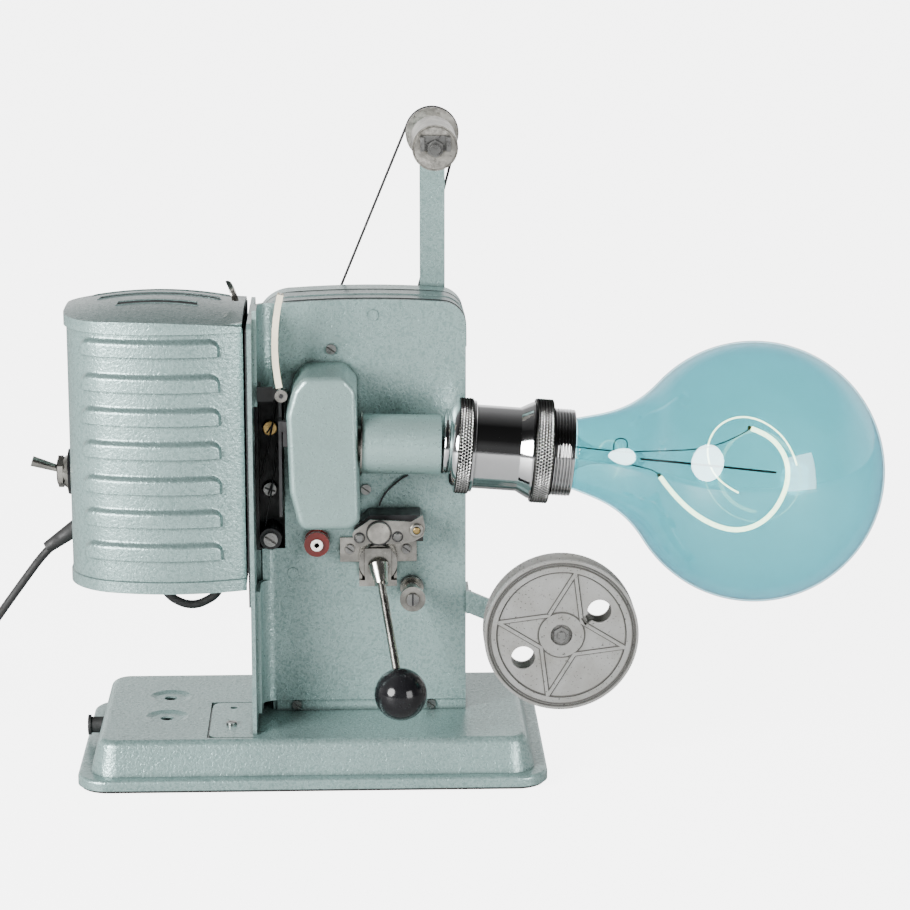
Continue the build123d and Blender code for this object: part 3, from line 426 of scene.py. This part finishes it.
# ---- mains cord ----
CORD_EXIT = (-120.6, 20.0, 107.5)
CORD_ROUTE = [
    CORD_EXIT, (-130.8, 20.5, 100.3), (-144.0, 22.0, 82.5), (-161.0, 26.0, 58.5),
    (-174.0, 28.5, 38.0), (-187.0, 31.5, 19.0), (-203.0, 37.0, 6.0), (-222.0, 46.0, 2.1),
    (-237.0, 62.0, 2.1), (-241.3, 77.0, 2.1),
]
TAIL_ROUTE = [
    (-215.8, 57.3, 14.7), (-226.0, 60.3, 14.7), (-234.4, 67.1, 14.7), (-239.4, 76.9, 14.7),
    (-240.8, 87.0, 14.2), (-240.9, 97.0, 12.2), (-241.0, 107.0, 8.4), (-241.0, 116.0, 5.4),
]
COIL_START = 172.0      # degrees, where the first turn begins
TURN_POINTS = 16
TURNS_A_LAYER = 2.72    # drawn turns, about 3 mm apart


def coil_points():
    """A spiral in each layer, inward and outward by turns; layers lie a diameter above each other."""
    x, y = COIL_AT
    outer = COIL_R + (COIL_TURNS - 1) * CORD_D / 2
    inner = COIL_R - (COIL_TURNS - 1) * CORD_D / 2
    steps = int(TURNS_A_LAYER * TURN_POINTS)
    points = []
    angle = COIL_START
    for layer in range(COIL_LAYERS):
        for n in range(steps):
            share = n / steps
            if layer % 2:
                share = 1.0 - share
            r = outer + (inner - outer) * share
            z = CORD_D / 2 + layer * CORD_D
            points.append((x + r * cos(radians(angle)), y + r * sin(radians(angle)), z))
            angle -= 360.0 / TURN_POINTS
    return points


def nurbs(name, points, radius, material, order=3):
    """A round tube along a smooth line through the neighbourhood of its points."""
    curve = bpy.data.curves.new(name, "CURVE")
    curve.dimensions = "3D"
    curve.bevel_depth = radius * MM
    curve.bevel_resolution = 5
    curve.resolution_u = 6
    curve.use_fill_caps = True
    spline = curve.splines.new("NURBS")
    spline.points.add(len(points) - 1)
    for point, place in zip(spline.points, points):
        point.co = (*mm(*place), 1.0)
    spline.order_u = order
    spline.use_endpoint_u = True
    curve.materials.append(material)
    return link(name, curve)


def mains_cord():
    """The drooping run, the coil and the tail to the plug, as one curve."""
    points = CORD_ROUTE + coil_points() + TAIL_ROUTE
    cord = nurbs("mains_cord", points, CORD_D / 2, LOOKS["rubber"])
    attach(cord, "chassis")
    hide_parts("cord_run", "cord_coil")


# ---- lampholder ----
def knurl_band(name, x0, x1, r, bore, pitch, place, material):
    """A collar with a diamond knurl round its rim."""
    depth = 0.75
    bevel = 0.5
    around = int(round(2 * pi * r / pitch))
    steps = around * 6
    rows = 30
    length = x1 - x0
    verts = []
    faces = []
    for s in range(steps):
        a = 2 * pi * s / steps
        section = [(x0, bore), (x0, r - depth - bevel)]
        for n in range(rows + 1):
            along = x0 + length * n / rows
            edge = min(along - x0, x1 - along)
            lead = around * a
            twist = 2 * pi * (along - x0) / (pitch * 1.6)
            diamonds = abs(sin((lead + twist) / 2)) * abs(sin((lead - twist) / 2))
            fade = min(1.0, edge / 0.7)
            drop = bevel * max(0.0, 1.0 - edge / bevel)
            section.append((along, r - drop - depth * fade * (1.0 - diamonds)))
        section += [(x1, r - depth - bevel), (x1, bore)]
        for along, radius in section:
            verts.append(place @ mm(along, radius * cos(a), radius * sin(a)))
    count = len(section)
    for s in range(steps):
        t = (s + 1) % steps
        for i in range(count):
            j = (i + 1) % count
            faces.append((s * count + i, s * count + j, t * count + j, t * count + i))
    return mesh_object(name, verts, faces, material, edge=50)


def arc(cx, cr, radius, start, end, steps=8):
    """Points of a quarter or so of a circle in a turned profile, angles in degrees."""
    points = []
    for n in range(steps + 1):
        a = radians(start + (end - start) * n / steps)
        points.append((cx + radius * cos(a), cr + radius * sin(a)))
    return points


def lampholder():
    """Domed cap with its knurled band, turned barrel, and the knurled shade ring."""
    chrome = LOOKS["chrome"]
    dome = [(1.0, 4.7), (1.0, 12.6)] + arc(2.2, 13.4, 1.2, 180, 90, 5) + [(3.0, 14.8), (3.3, 15.6)]
    dome += arc(10.0, 14.6, 6.6, 165, 100, 8) + [(9.0, 21.2), (9.0, 18.5), (3.4, 13.0), (3.4, 4.7)]
    cap = lathe("cap_dome", dome, HOLDER, chrome)
    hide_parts("holder_cap")
    knurl = knurl_band("cap_knurl", 7.5, 14.3, 23.0, 18.5, 1.65, HOLDER, LOOKS["knurled"])
    profile = [(14.5, 18.6), (14.3, 21.4), (14.5, 21.8), (15.6, 21.8), (15.9, 21.4), (15.9, 20.0)]
    profile += [(36.8, 20.0), (37.2, 20.1), (42.3, 22.8), (42.8, 23.0), (43.5, 23.0)]
    profile += [(43.6, 20.2), (52.9, 20.2)]
    for n in range(6):
        x = 53.0 + 1.45 * n
        profile += [(x, 20.25), (x + 0.45, 20.85), (x + 0.85, 20.85), (x + 1.25, 20.25)]
    profile += [(61.9, 20.3), (62.0, 20.6), (62.7, 20.6), (62.9, 20.3), (62.9, 19.3)]
    profile += [(38.0, 19.2), (36.5, 18.6)]
    barrel = lathe("holder_barrel_turned", profile, HOLDER, chrome)
    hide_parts("holder_barrel")
    collar = knurl_band("shade_ring_knurled", 43.9, 52.3, 25.0, 20.96, 1.65, HOLDER, LOOKS["knurled"])
    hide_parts("shade_ring")
    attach(collar, "shade_collar")
    for piece in (cap, knurl, barrel):
        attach(piece, "chassis")


# ---- globe lamp, in its own frame: X from its neck to its far pole ----
FAR_STRAND = [
    (84.0, 12, -14.1), (73.6, 13, -10.3), (66.0, 14, -0.3), (66.6, 15, 12.5), (73.1, 15, 20.6),
    (83.2, 15, 24.0), (96.5, 14, 20.7), (106.4, 12, 11.8), (110.0, 10, 2.8),
]
FILAMENT = [
    (42.5, -8, -5.5), (48.0, -11, -11.5), (58.0, -13, -20.0), (71.0, -13, -26.0), (84.0, -11, -28.0),
    (97.0, -7, -22.0), (104.5, -2, -9.0), (105.5, 3, 3.0), (100.5, 7, 12.0), (93.5, 9, 16.8),
    (85.5, 10, 18.6),
]


def globe_line(inset):
    """Outline of the globe from its neck to its far pole."""
    r = GLOBE_R - inset
    points = []
    join = 142      # degrees from the far pole to where the neck's flare meets the ball
    flare_end = GLOBE_C + r * cos(radians(join))
    flare_r = r * sin(radians(join))
    slope = 1.0 / 0.7813
    start = (0.6, 17.0 - inset)
    steps = 26
    span = flare_end - start[0]
    for n in range(steps):
        t = n / steps
        h00 = 2 * t ** 3 - 3 * t ** 2 + 1
        h10 = t ** 3 - 2 * t ** 2 + t
        h01 = -2 * t ** 3 + 3 * t ** 2
        h11 = t ** 3 - t ** 2
        radius = h00 * start[1] + h10 * span * 0.30 + h01 * flare_r + h11 * span * slope
        points.append((start[0] + span * t, radius))
    for n in range(61):
        a = radians(join - join * n / 60)
        points.append((GLOBE_C + r * cos(a), max(0.02, r * sin(a))))
    return points


def wire(name, points, radius, look):
    """A thin rod or wire along a smooth line, in the globe's own frame."""
    placed = [BULB @ mm(*p) / MM for p in points]
    piece = nurbs(name, placed, radius, LOOKS[look], 4 if len(points) > 3 else 3)
    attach(piece, "lamp")
    return piece


def globe_lamp():
    """Globe, screw cap, stem, glowing strips and the wires that carry them."""
    outer = globe_line(0.0)
    inner = globe_line(0.9)
    profile = outer + inner[::-1]
    glass = lathe("bulb_globe", profile, BULB, LOOKS["glass_blue"], steps=128, edge=None)
    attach(glass, "lamp")
    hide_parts("bulb_glass")
    # cemented screw cap with a rolled thread
    cap = [(-25.0, 0.05), (-25.0, 7.0), (-22.5, 12.5)]
    for n in range(30):
        along = -22.0 + 20.0 * n / 29
        cap.append((along, 12.75 + 0.35 * sin(2 * pi * along / 3.6)))
    cap += [(-1.6, 13.0), (0.4, 13.0), (0.4, 12.4), (-22.0, 11.8), (-23.6, 6.6), (-23.6, 0.05)]
    shell = lathe("bulb_screw_cap", cap, BULB, LOOKS["nickel"])
    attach(shell, "lamp")
    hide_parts("bulb_cap")
    stem = [(-5.8, 0.05), (-5.8, 5.0), (-3, 12.0), (-2, 12.2), (1, 9.4), (4, 6.6), (9, 4.6)]
    stem += [(16, 3.6), (24, 3.0), (29, 2.6)] + arc(32.0, 0.0, 3.4, 130, 0, 8)
    stem = [(x, max(0.05, r)) for x, r in stem]
    glass_stem = lathe("bulb_stem_glass", stem, BULB, LOOKS["glass_clear"], steps=48, edge=None)
    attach(glass_stem, "lamp")
    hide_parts("bulb_stem")
    strip = wire("bulb_led_strip", FILAMENT, 1.15, "filament")
    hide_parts("bulb_filament")
    ends = ((FILAMENT[0], FILAMENT[1]), (FILAMENT[-1], FILAMENT[-2]))
    for n, (end, beyond) in enumerate(ends):
        back = Vector(end) + (Vector(end) - Vector(beyond)).normalized() * 1.6
        front = Vector(end).lerp(Vector(beyond), 0.12)
        wire(f"bulb_led_end_{n}", [tuple(back), end, tuple(front)], 1.0, "brass")
    wire("bulb_led_strand_far", FAR_STRAND, 0.42, "filament")
    wire("bulb_support_rod", [(33, 0, 0.4), (60, 0.4, 0.6), (99, 0.8, 0.2)], 0.55, "black_paint")
    high = [(26, 1.5, 2.6), (34, 1, 4.2), (52, -2, 6.6), (70, -6, 11.4), FILAMENT[-1]]
    low = [(26, -1.5, -2.0), (33, -2.5, -3.5), (40, -4, -2.2), FILAMENT[0]]
    neck = [(-1, 0.5, 3.2), (10, 0.5, 2.6), (20, 1.0, 2.8), (26, 1.5, 2.6)]
    hook = [(20, 0, 3.0), (18.5, 0, 8.0), (23, 0, 11.0), (27, 0, 8.0), (25.5, 0, 3.0)]
    wire("bulb_wire_high", high, 0.32, "steel")
    wire("bulb_wire_low", low, 0.32, "steel")
    wire("bulb_wire_neck", neck, 0.3, "steel")
    wire("bulb_hook", hook, 0.3, "steel")


# ---- lamp house ----
def arc_through(a, b, c, steps):
    """Points on the circle through three points, from a to c by way of b."""
    ax, ay = a
    bx, by = b
    cx, cy = c
    d = 2 * (ax * (by - cy) + bx * (cy - ay) + cx * (ay - by))
    aa = ax * ax + ay * ay
    bb = bx * bx + by * by
    cc = cx * cx + cy * cy
    ux = (aa * (by - cy) + bb * (cy - ay) + cc * (ay - by)) / d
    uy = (aa * (cx - bx) + bb * (ax - cx) + cc * (bx - ax)) / d
    r = sqrt((ax - ux) ** 2 + (ay - uy) ** 2)
    first = atan2(ay - uy, ax - ux)
    sweep = (atan2(cy - uy, cx - ux) - first + pi) % (2 * pi) - pi
    points = []
    for n in range(steps):
        t = first + sweep * n / steps
        points.append((ux + r * cos(t), uy + r * sin(t), cos(t), sin(t)))
    return points


def house_plan():
    """Half the plan, from the right front corner round to the middle of the left end."""
    x = HOUSE_X0
    y = HOUSE_MID_Y
    front = arc_through((-31, y - 38), (-66, y - 44.6), (x + 19, y - 39.5), 150)
    corner = arc_through((x + 19, y - 39.5), (x + 6.2, y - 29.5), (x, y - 13), 36)
    end = []
    for n in range(7):
        end.append((x, y - 13 + 13 * n / 6, -1.0, 0.0))
    return front + corner + end


def smooth_step(low, high, value):
    """0 at low and 1 at high, with level ends."""
    t = min(1.0, max(0.0, (value - low) / (high - low)))
    return t * t * (3 - 2 * t)


def louvre_height(x, z):
    """How far the wall stands out at a place: round-ended hoods open along their lower edge."""
    from_end = min(x - LOUVRE_X0, LOUVRE_X1 - x)
    if from_end <= 0.0:
        return 0.0
    end_r = 5.5
    turn = max(0.0, 1.0 - from_end / end_r)
    fall = end_r * (1.0 - sqrt(1.0 - turn * turn))
    for top in LOUVRE_TOPS:
        bottom = top - LOUVRE_H
        if bottom <= z <= top + 0.6:
            crest = top - fall
            rise = smooth_step(crest + 0.6, crest - 2.6, z)
            lift = LOUVRE_LIFT * (rise ** 0.8) * (smooth_step(0.0, 1.8, from_end) ** 0.6)
            return lift * smooth_step(bottom - 0.1, bottom + 0.45, z)
    return 0.0


def lamp_house():
    """The bent wall, its louvre hoods pressed out of it, with a raised band along the bottom."""
    half = house_plan()
    plan = half + [(x, 2 * HOUSE_MID_Y - y, nx, -ny) for x, y, nx, ny in half[::-1][1:]]
    heights = [HOUSE_Z0]
    fine = 0.22
    coarse = 0.55
    z = HOUSE_Z0
    while z < HOUSE_Z1 - 0.4:
        near = any(top - 9.4 <= z <= top - 7.4 for top in LOUVRE_TOPS)
        z += fine if near else coarse
        heights.append(min(z, HOUSE_Z1))
    if heights[-1] < HOUSE_Z1:
        heights.append(HOUSE_Z1)
    verts = []
    faces = []
    rows = len(heights)
    thickness = 1.15
    band = HOUSE_Z0 + 6.0
    band_lift = 0.65
    for x, y, nx, ny in plan:
        length = sqrt(nx * nx + ny * ny)
        nx, ny = nx / length, ny / length
        for z in heights:
            out = louvre_height(x, z)
            if z < band:
                out += band_lift * smooth_step(band, band - 0.5, z)
            verts.append(mm(x + nx * out, y + ny * out, z))
        for z in heights:
            out = louvre_height(x, z) - thickness
            verts.append(mm(x + nx * out, y + ny * out, z))
    stride = 2 * rows
    for p in range(len(plan) - 1):
        a = p * stride
        b = a + stride
        for k in range(rows - 1):
            faces.append((a + k, b + k, b + k + 1, a + k + 1))
            faces.append((a + rows + k, a + rows + k + 1, b + rows + k + 1, b + rows + k))
        faces.append((a, a + rows, b + rows, b))
        faces.append((a + rows - 1, b + rows - 1, b + 2 * rows - 1, a + 2 * rows - 1))
    for a in (0, (len(plan) - 1) * stride):
        for k in range(rows - 1):
            faces.append((a + k, a + k + 1, a + rows + k + 1, a + rows + k))
    # the wall's paint carries painted shade on faces that look up
    wall = mesh_object("lamp_house_louvred", verts, faces, LOOKS["top_shaded_paint"], edge=45)
    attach(wall, "chassis")
    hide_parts("lamp_house_wall")


# ---- small parts on the operator side ----
def facing_front(x, y, z):
    """Placement for a turned piece whose axis points out of the front, at a face at y."""
    return Matrix.Translation(mm(x, y, z)) @ Matrix.Rotation(radians(-90), 4, "Z")


def button(name, at, profile, look):
    """A turned head or pin: profile is (out of the face, radius)."""
    piece = lathe(name, profile, facing_front(*at), LOOKS[look], steps=48, edge=35)
    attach(piece, "chassis")
    return piece


def domed(r, height, bead=0.35):
    """Outline of a low domed head."""
    rim = max(0.0, height - bead)
    side = [(-0.3, 0.03), (-0.3, r), (rim * 0.6, r), (rim, r - bead * 0.4)]
    return side + [(height, r - bead * 1.6), (height, 0.03)]


def ring(r, bore, height):
    """Outline of a flat ring with eased edges."""
    outside = [(-0.3, bore), (-0.3, r), (height * 0.7, r), (height, r - 0.3)]
    return outside + [(height, bore + 0.3), (height * 0.8, bore)]


def rod(name, points, radius, look, body="chassis", order=3):
    """A wire, bead or seam along a smooth line, in the object's frame."""
    piece = nurbs(name, points, radius, LOOKS[look], order)
    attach(piece, body)
    return piece


def mechanism_details():
    """Disc, pins and post on the face plate, a black bar of painted shade for the roller's screw slot, and
    a loose wire.
    """
    face = -31.0
    button("mechanism_disc", (32.4, face, 118.9), domed(5.6, 1.0, 0.3), "worn_nickel")
    button("mechanism_disc_ring", (32.4, face, 118.9), ring(6.2, 5.65, 0.3), "black_paint")
    for n, (x, z) in enumerate(((23.1, 116.6), (41.3, 117.0))):
        button(f"mechanism_pin_{n}", (x, face, z), domed(2.1, 1.5), "steel")
        button(f"mechanism_pin_ring_{n}", (x, face, z), ring(2.7, 2.15, 0.25), "black_paint")
    button("mechanism_post", (50.5, face, 120.2), ring(3.1, 1.7, 1.5), "worn_nickel")
    button("mechanism_post_tip", (50.5, face, 120.2), domed(1.75, 2.0), "brass")
    slot = box_piece("roller_screw_slot", (48.5, -33.9, 86.2), (0.85, 0.5, 5.4), "black_paint")
    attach(slot, "chassis")
    bow = [(32.8, -11, 127.5), (34.2, -11, 133.0), (38.7, -11, 138.0), (46.9, -10.6, 142.6)]
    rod("film_wire", bow, 0.45, "black_paint", order=4)


def box_piece(name, centre, size, look):
    """A small flat-sided piece, such as a black bar of painted shade in the groove of a screw."""
    x, y, z = centre
    a, b, c = (v / 2 for v in size)
    verts = [mm(x + i * a, y + j * b, z + k * c) for i in (-1, 1) for j in (-1, 1) for k in (-1, 1)]
    faces = [(0, 1, 3, 2), (4, 6, 7, 5), (0, 4, 5, 1), (2, 3, 7, 6), (0, 2, 6, 4), (1, 5, 7, 3)]
    return mesh_object(name, verts, faces, LOOKS[look], smooth=False)


def reel_details():
    """Painted shade: dark lines along the star's ridges and round the turned grooves of the take-up reel.
    """
    x0, z0 = REEL_AT
    face = -34.66
    rim = -35.36
    for n, (r, depth) in enumerate(((11.3, face), (31.2, face), (34.5, rim), (35.9, rim))):
        turns = [2 * pi * k / 72 for k in range(73)]
        circle = [(x0 + r * cos(t), depth, z0 + r * sin(t)) for t in turns]
        rod(f"reel_shade_ring_{n}", circle, 0.3, "painted_shade", body="takeup")
    corners = []
    for n in range(2 * STAR_TIPS + 1):
        r = STAR_OUT_R if n % 2 == 0 else STAR_IN_R
        a = radians(STAR_TOP + 180.0 / STAR_TIPS * n)
        corners.append(Vector((x0 + r * cos(a), 0.0, z0 + r * sin(a))))
    for n in range(2 * STAR_TIPS):
        a, b = corners[n], corners[n + 1]
        along = (b - a).normalized()
        side = Vector((-along.z, 0.0, along.x)) * 0.95
        for m, shift in enumerate((side, -side)):
            ends = [a + along * 1.2 + shift, b - along * 1.0 + shift]
            line = [(v.x, face, v.z) for v in (ends[0], ends[0].lerp(ends[1], 0.5), ends[1])]
            rod(f"reel_shade_line_{n}_{m}", line, 0.26, "painted_shade", body="takeup")


def gate_details():
    """Eyelet of the red roller, screws of the black liner with black bars of painted shade for their slots,
    and the wires in front of it.
    """
    button("red_roller_eyelet", (2.4, -19.6, 110.0), ring(2.95, 1.3, 0.35), "ceramic")
    button("liner_screw_high", (-20.1, 3.5, 163.2), domed(3.75, 0.5), "brass")
    button("liner_screw_low", (-20.5, 3.5, 132.6), domed(3.75, 0.5), "steel")
    for n, (x, z, turn) in enumerate(((-20.1, 163.2, 35), (-20.5, 132.6, 20), (-20.5, 132.6, 110))):
        groove = box_piece(f"liner_slot_{n}", (0, 0, 0), (0.8, 0.25, 5.6), "black_paint")
        groove.matrix_world = Matrix.Translation(mm(x, 3.02, z)) @ Matrix.Rotation(radians(turn), 4, "Y")
        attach(groove, "chassis")
    upper = [(-24.5, -4, 140), (-22.0, -7, 152), (-18.0, -9, 168), (-16.5, -8, 180)]
    lower = [(-23.5, -2, 112), (-21.5, -6, 124), (-17.5, -8, 142), (-16.6, -6, 158)]
    rod("liner_wire_a", upper, 0.5, "black_paint", order=4)
    rod("liner_wire_b", lower, 0.45, "black_paint", order=4)


def switch_details():
    """Black washer behind the toggle switch's nut."""
    place = Matrix.Translation(mm(HOUSE_X0, HOUSE_MID_Y, SWITCH_Z)) @ Matrix.Rotation(pi, 4, "Z")
    washer = [(0.02, 5.9), (0.02, 10.6), (0.5, 11.15), (1.6, 11.15), (2.06, 10.6), (2.06, 8.7), (2.06, 5.9)]
    piece = lathe("switch_washer", washer, place, LOOKS["black_plastic"])
    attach(piece, "chassis")


def casing_line(y, drop):
    """Points along the casing's top edge, from its left corner round to its right side."""
    points = []
    x0 = -27.0
    x1 = 75.0
    top = 227.5
    left_r = 18
    right_r = 12
    crown = 1.2
    bend = left_r - drop
    for n in range(7):
        a = radians(180 - 15 * n)
        points.append((x0 + left_r + bend * cos(a), y, top - left_r + bend * sin(a)))
    for n in range(1, 10):
        x = x0 + left_r + (x1 - right_r - x0 - left_r) * n / 10
        points.append((x, y, top - drop + crown * (1 - ((x - 27) / 36) ** 2)))
    bend = right_r - drop
    for n in range(7):
        a = radians(90 - 15 * n)
        points.append((x1 - right_r + bend * cos(a), y, top - right_r + bend * sin(a)))
    points.append((x1 - drop, y, 205.0))
    return points


def casing_details():
    """Seams and a bead over the top of the casing."""
    rod("plate_seam", casing_line(-5.8, 0.1), 0.55, "black_paint")
    rod("casing_bead", casing_line(6.0, 0.2), 0.7, "hammer_paint")
    rod("casing_seam", casing_line(20.0, 0.15), 0.45, "black_paint")


def lid_height(x, y):
    """Height of the lid's domed top."""
    return LID_TOP - LID_DOME_R + sqrt(LID_DOME_R ** 2 - (x - LID_MID_X) ** 2 - (y - HOUSE_MID_Y) ** 2)


def slot_edge(y0, half, radius):
    """Points along one long edge of a curved lid slot, left to right."""
    steps = 16
    points = []
    for n in range(steps + 1):
        x = SLOT_MID_X - half + 2 * half * n / steps
        points.append((x, y0 - SLOT_BEND_R + sqrt(radius ** 2 - (x - SLOT_MID_X) ** 2)))
    return points


def lid_slots():
    """A black sheet across each curved slot as painted shade for its shadowed inside, and the lip pressed
    up round it.
    """
    for n, (y0, half) in enumerate(LID_SLOTS):
        near = slot_edge(y0, half, SLOT_BEND_R - 2.6)
        far = slot_edge(y0, half, SLOT_BEND_R + 2.6)
        verts = [mm(x, y, lid_height(x, y) - 0.9) for x, y in near]
        verts += [mm(x, y, lid_height(x, y) - 0.04) for x, y in far]
        count = len(near)
        faces = [(k, k + 1, count + k + 1, count + k) for k in range(count - 1)]
        shade = mesh_object(f"lid_slot_shade_{n}", verts, faces, LOOKS["black_paint"])
        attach(shade, "lid")
        outline = slot_edge(y0, half + 0.4, SLOT_BEND_R - 3.3)
        outline += slot_edge(y0, half + 0.4, SLOT_BEND_R + 3.3)[::-1]
        outline.append(outline[0])
        lip = [(x, y, lid_height(x, y) - 0.1) for x, y in outline]
        # the lip's paint carries painted shade on faces that look up
        rod(f"lid_slot_lip_{n}", lip, 0.45, "top_shaded_paint", body="lid")


def lid_details():
    """Bent strip clip at the lid's right end, leaning back to the left."""
    line = [(-35.0, -15.5, 229.2), (-35.3, -12.4, 229.6), (-35.9, -10.9, 231.2), (-36.8, -10.5, 234.0),
            (-37.9, -11.2, 236.8), (-39.0, -12.8, 239.0)]
    verts = []
    faces = []
    steps = len(line)
    for n, (x, y, z) in enumerate(line):
        for side in (-2.0 + 0.12 * n, 2.0 - 0.12 * n):
            for off in (0.0, 0.7):
                verts.append(mm(x + side, y - off * 0.8, z + off * 0.5))
    for n in range(steps - 1):
        a = 4 * n
        b = a + 4
        faces += [(a, b, b + 2, a + 2), (a + 1, a + 3, b + 3, b + 1)]
        faces += [(a, a + 1, b + 1, b), (a + 2, b + 2, b + 3, a + 3)]
    last = 4 * steps - 4
    faces += [(0, 2, 3, 1), (last, last + 1, last + 3, last + 2)]
    clip = mesh_object("lid_clip_strip", verts, faces, LOOKS["nickel"])
    smooth = clip.modifiers.new("smooth", "SUBSURF")
    smooth.levels = 2
    smooth.render_levels = 2
    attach(clip, "lid")
    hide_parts("lid_clip")


# ---- studio ----
# room brightness from front (0) to back (1), and from floor (0) to ceiling (1)
ROOM_DEPTH = [(0.0, 0.04), (0.35, 0.06), (0.55, 0.45), (0.8, 1.0)]
ROOM_HEIGHT = [(0.5, 1.0), (0.63, 0.95), (0.76, 0.2), (1.0, 0.09)]
ROOM_STRENGTH = 1.8
FLOOR_HALF = 9.0
FLOOR_GAP = 0.0004      # keeps the floor just clear of the underside
FLOOR_GLOW = 0.12       # what the floor gives off to the object
FLOOR_SEEN = 5.5        # what it gives off to the camera
LIGHT_AIM = (0.05, 0.0, 0.14)
LEFT_LIGHT_AT = (-1.115, -1.148, 0.632)
LEFT_LIGHT_SIZE = (0.95, 0.95)
LEFT_LIGHT_POWER = 82.0
RIGHT_LIGHT_AT = (1.211, -1.513, 0.367)
RIGHT_LIGHT_SIZE = (0.83, 1.08)
RIGHT_LIGHT_POWER = 30.0


def area_light(name, at, size, power, shape="RECTANGLE"):
    """A soft light aimed at the object."""
    data = bpy.data.lights.new(name, "AREA")
    data.shape = shape
    data.size = size[0]
    if shape == "RECTANGLE":
        data.size_y = size[1]
    data.energy = power
    light = link(name, data)
    light.location = at
    light.rotation_euler = (Vector(LIGHT_AIM) - Vector(at)).to_track_quat("-Z", "Y").to_euler()


def studio():
    """Pale floor, a room dark at the front and overhead, and a soft light on each side."""
    floor_look = Look("studio_floor").set(Roughness=0.55, Specular_IOR_Level=0.3)
    seen = floor_look.nodes.new("ShaderNodeLightPath")
    glow = floor_look.nodes.new("ShaderNodeMapRange")
    glow.inputs["To Min"].default_value = FLOOR_GLOW
    glow.inputs["To Max"].default_value = FLOOR_SEEN
    floor_look.join(seen.outputs["Is Camera Ray"], glow.inputs["Value"])
    floor_look.join(glow.outputs["Result"], floor_look.shader.inputs["Emission Strength"])
    floor_look.colour(floor_look.ramp(floor_look.noise(2.0), [(0.0, 0.42), (1.0, 0.45)]))
    floor_look.shader.inputs["Emission Color"].default_value = (1.0, 1.0, 1.0, 1.0)
    half = FLOOR_HALF
    corners = [(-half, -half, 0.0), (half, -half, 0.0), (half, half, 0.0), (-half, half, 0.0)]
    floor = mesh_object("studio_floor", corners, [(0, 1, 2, 3)], floor_look.material, smooth=False)
    floor.location.z = -FLOOR_GAP
    world = bpy.data.worlds.new("studio")
    bpy.context.scene.world = world
    world.use_nodes = True
    nodes = world.node_tree.nodes
    links = world.node_tree.links
    coords = nodes.new("ShaderNodeTexCoord")
    split = nodes.new("ShaderNodeSeparateXYZ")
    links.new(coords.outputs["Generated"], split.inputs["Vector"])
    shades = []
    for axis, stops in (("Y", ROOM_DEPTH), ("Z", ROOM_HEIGHT)):
        scaled = nodes.new("ShaderNodeMapRange")
        scaled.inputs["From Min"].default_value = -1.0
        links.new(split.outputs[axis], scaled.inputs["Value"])
        ramp = nodes.new("ShaderNodeValToRGB")
        elements = ramp.color_ramp.elements
        while len(elements) < len(stops):
            elements.new(0.5)
        for element, (position, shade) in zip(elements, stops):
            element.position = position
            element.color = (shade, shade, shade, 1.0)
        links.new(scaled.outputs["Result"], ramp.inputs["Fac"])
        shades.append(ramp.outputs["Color"])
    product = nodes.new("ShaderNodeMix")
    product.data_type = "RGBA"
    product.blend_type = "MULTIPLY"
    product.inputs["Factor"].default_value = 1.0
    slots = [socket for socket in product.inputs if socket.type == "RGBA"]
    links.new(shades[0], slots[0])
    links.new(shades[1], slots[1])
    result = [socket for socket in product.outputs if socket.type == "RGBA"][0]
    links.new(result, nodes["Background"].inputs["Color"])
    nodes["Background"].inputs["Strength"].default_value = ROOM_STRENGTH
    area_light("softbox_left", LEFT_LIGHT_AT, LEFT_LIGHT_SIZE, LEFT_LIGHT_POWER, shape="DISK")
    area_light("softbox_right", RIGHT_LIGHT_AT, RIGHT_LIGHT_SIZE, RIGHT_LIGHT_POWER)


make_camera()
dress_nodes()
mains_cord()
lampholder()
globe_lamp()
lamp_house()
mechanism_details()
reel_details()
gate_details()
switch_details()
casing_details()
lid_slots()
lid_details()
studio()
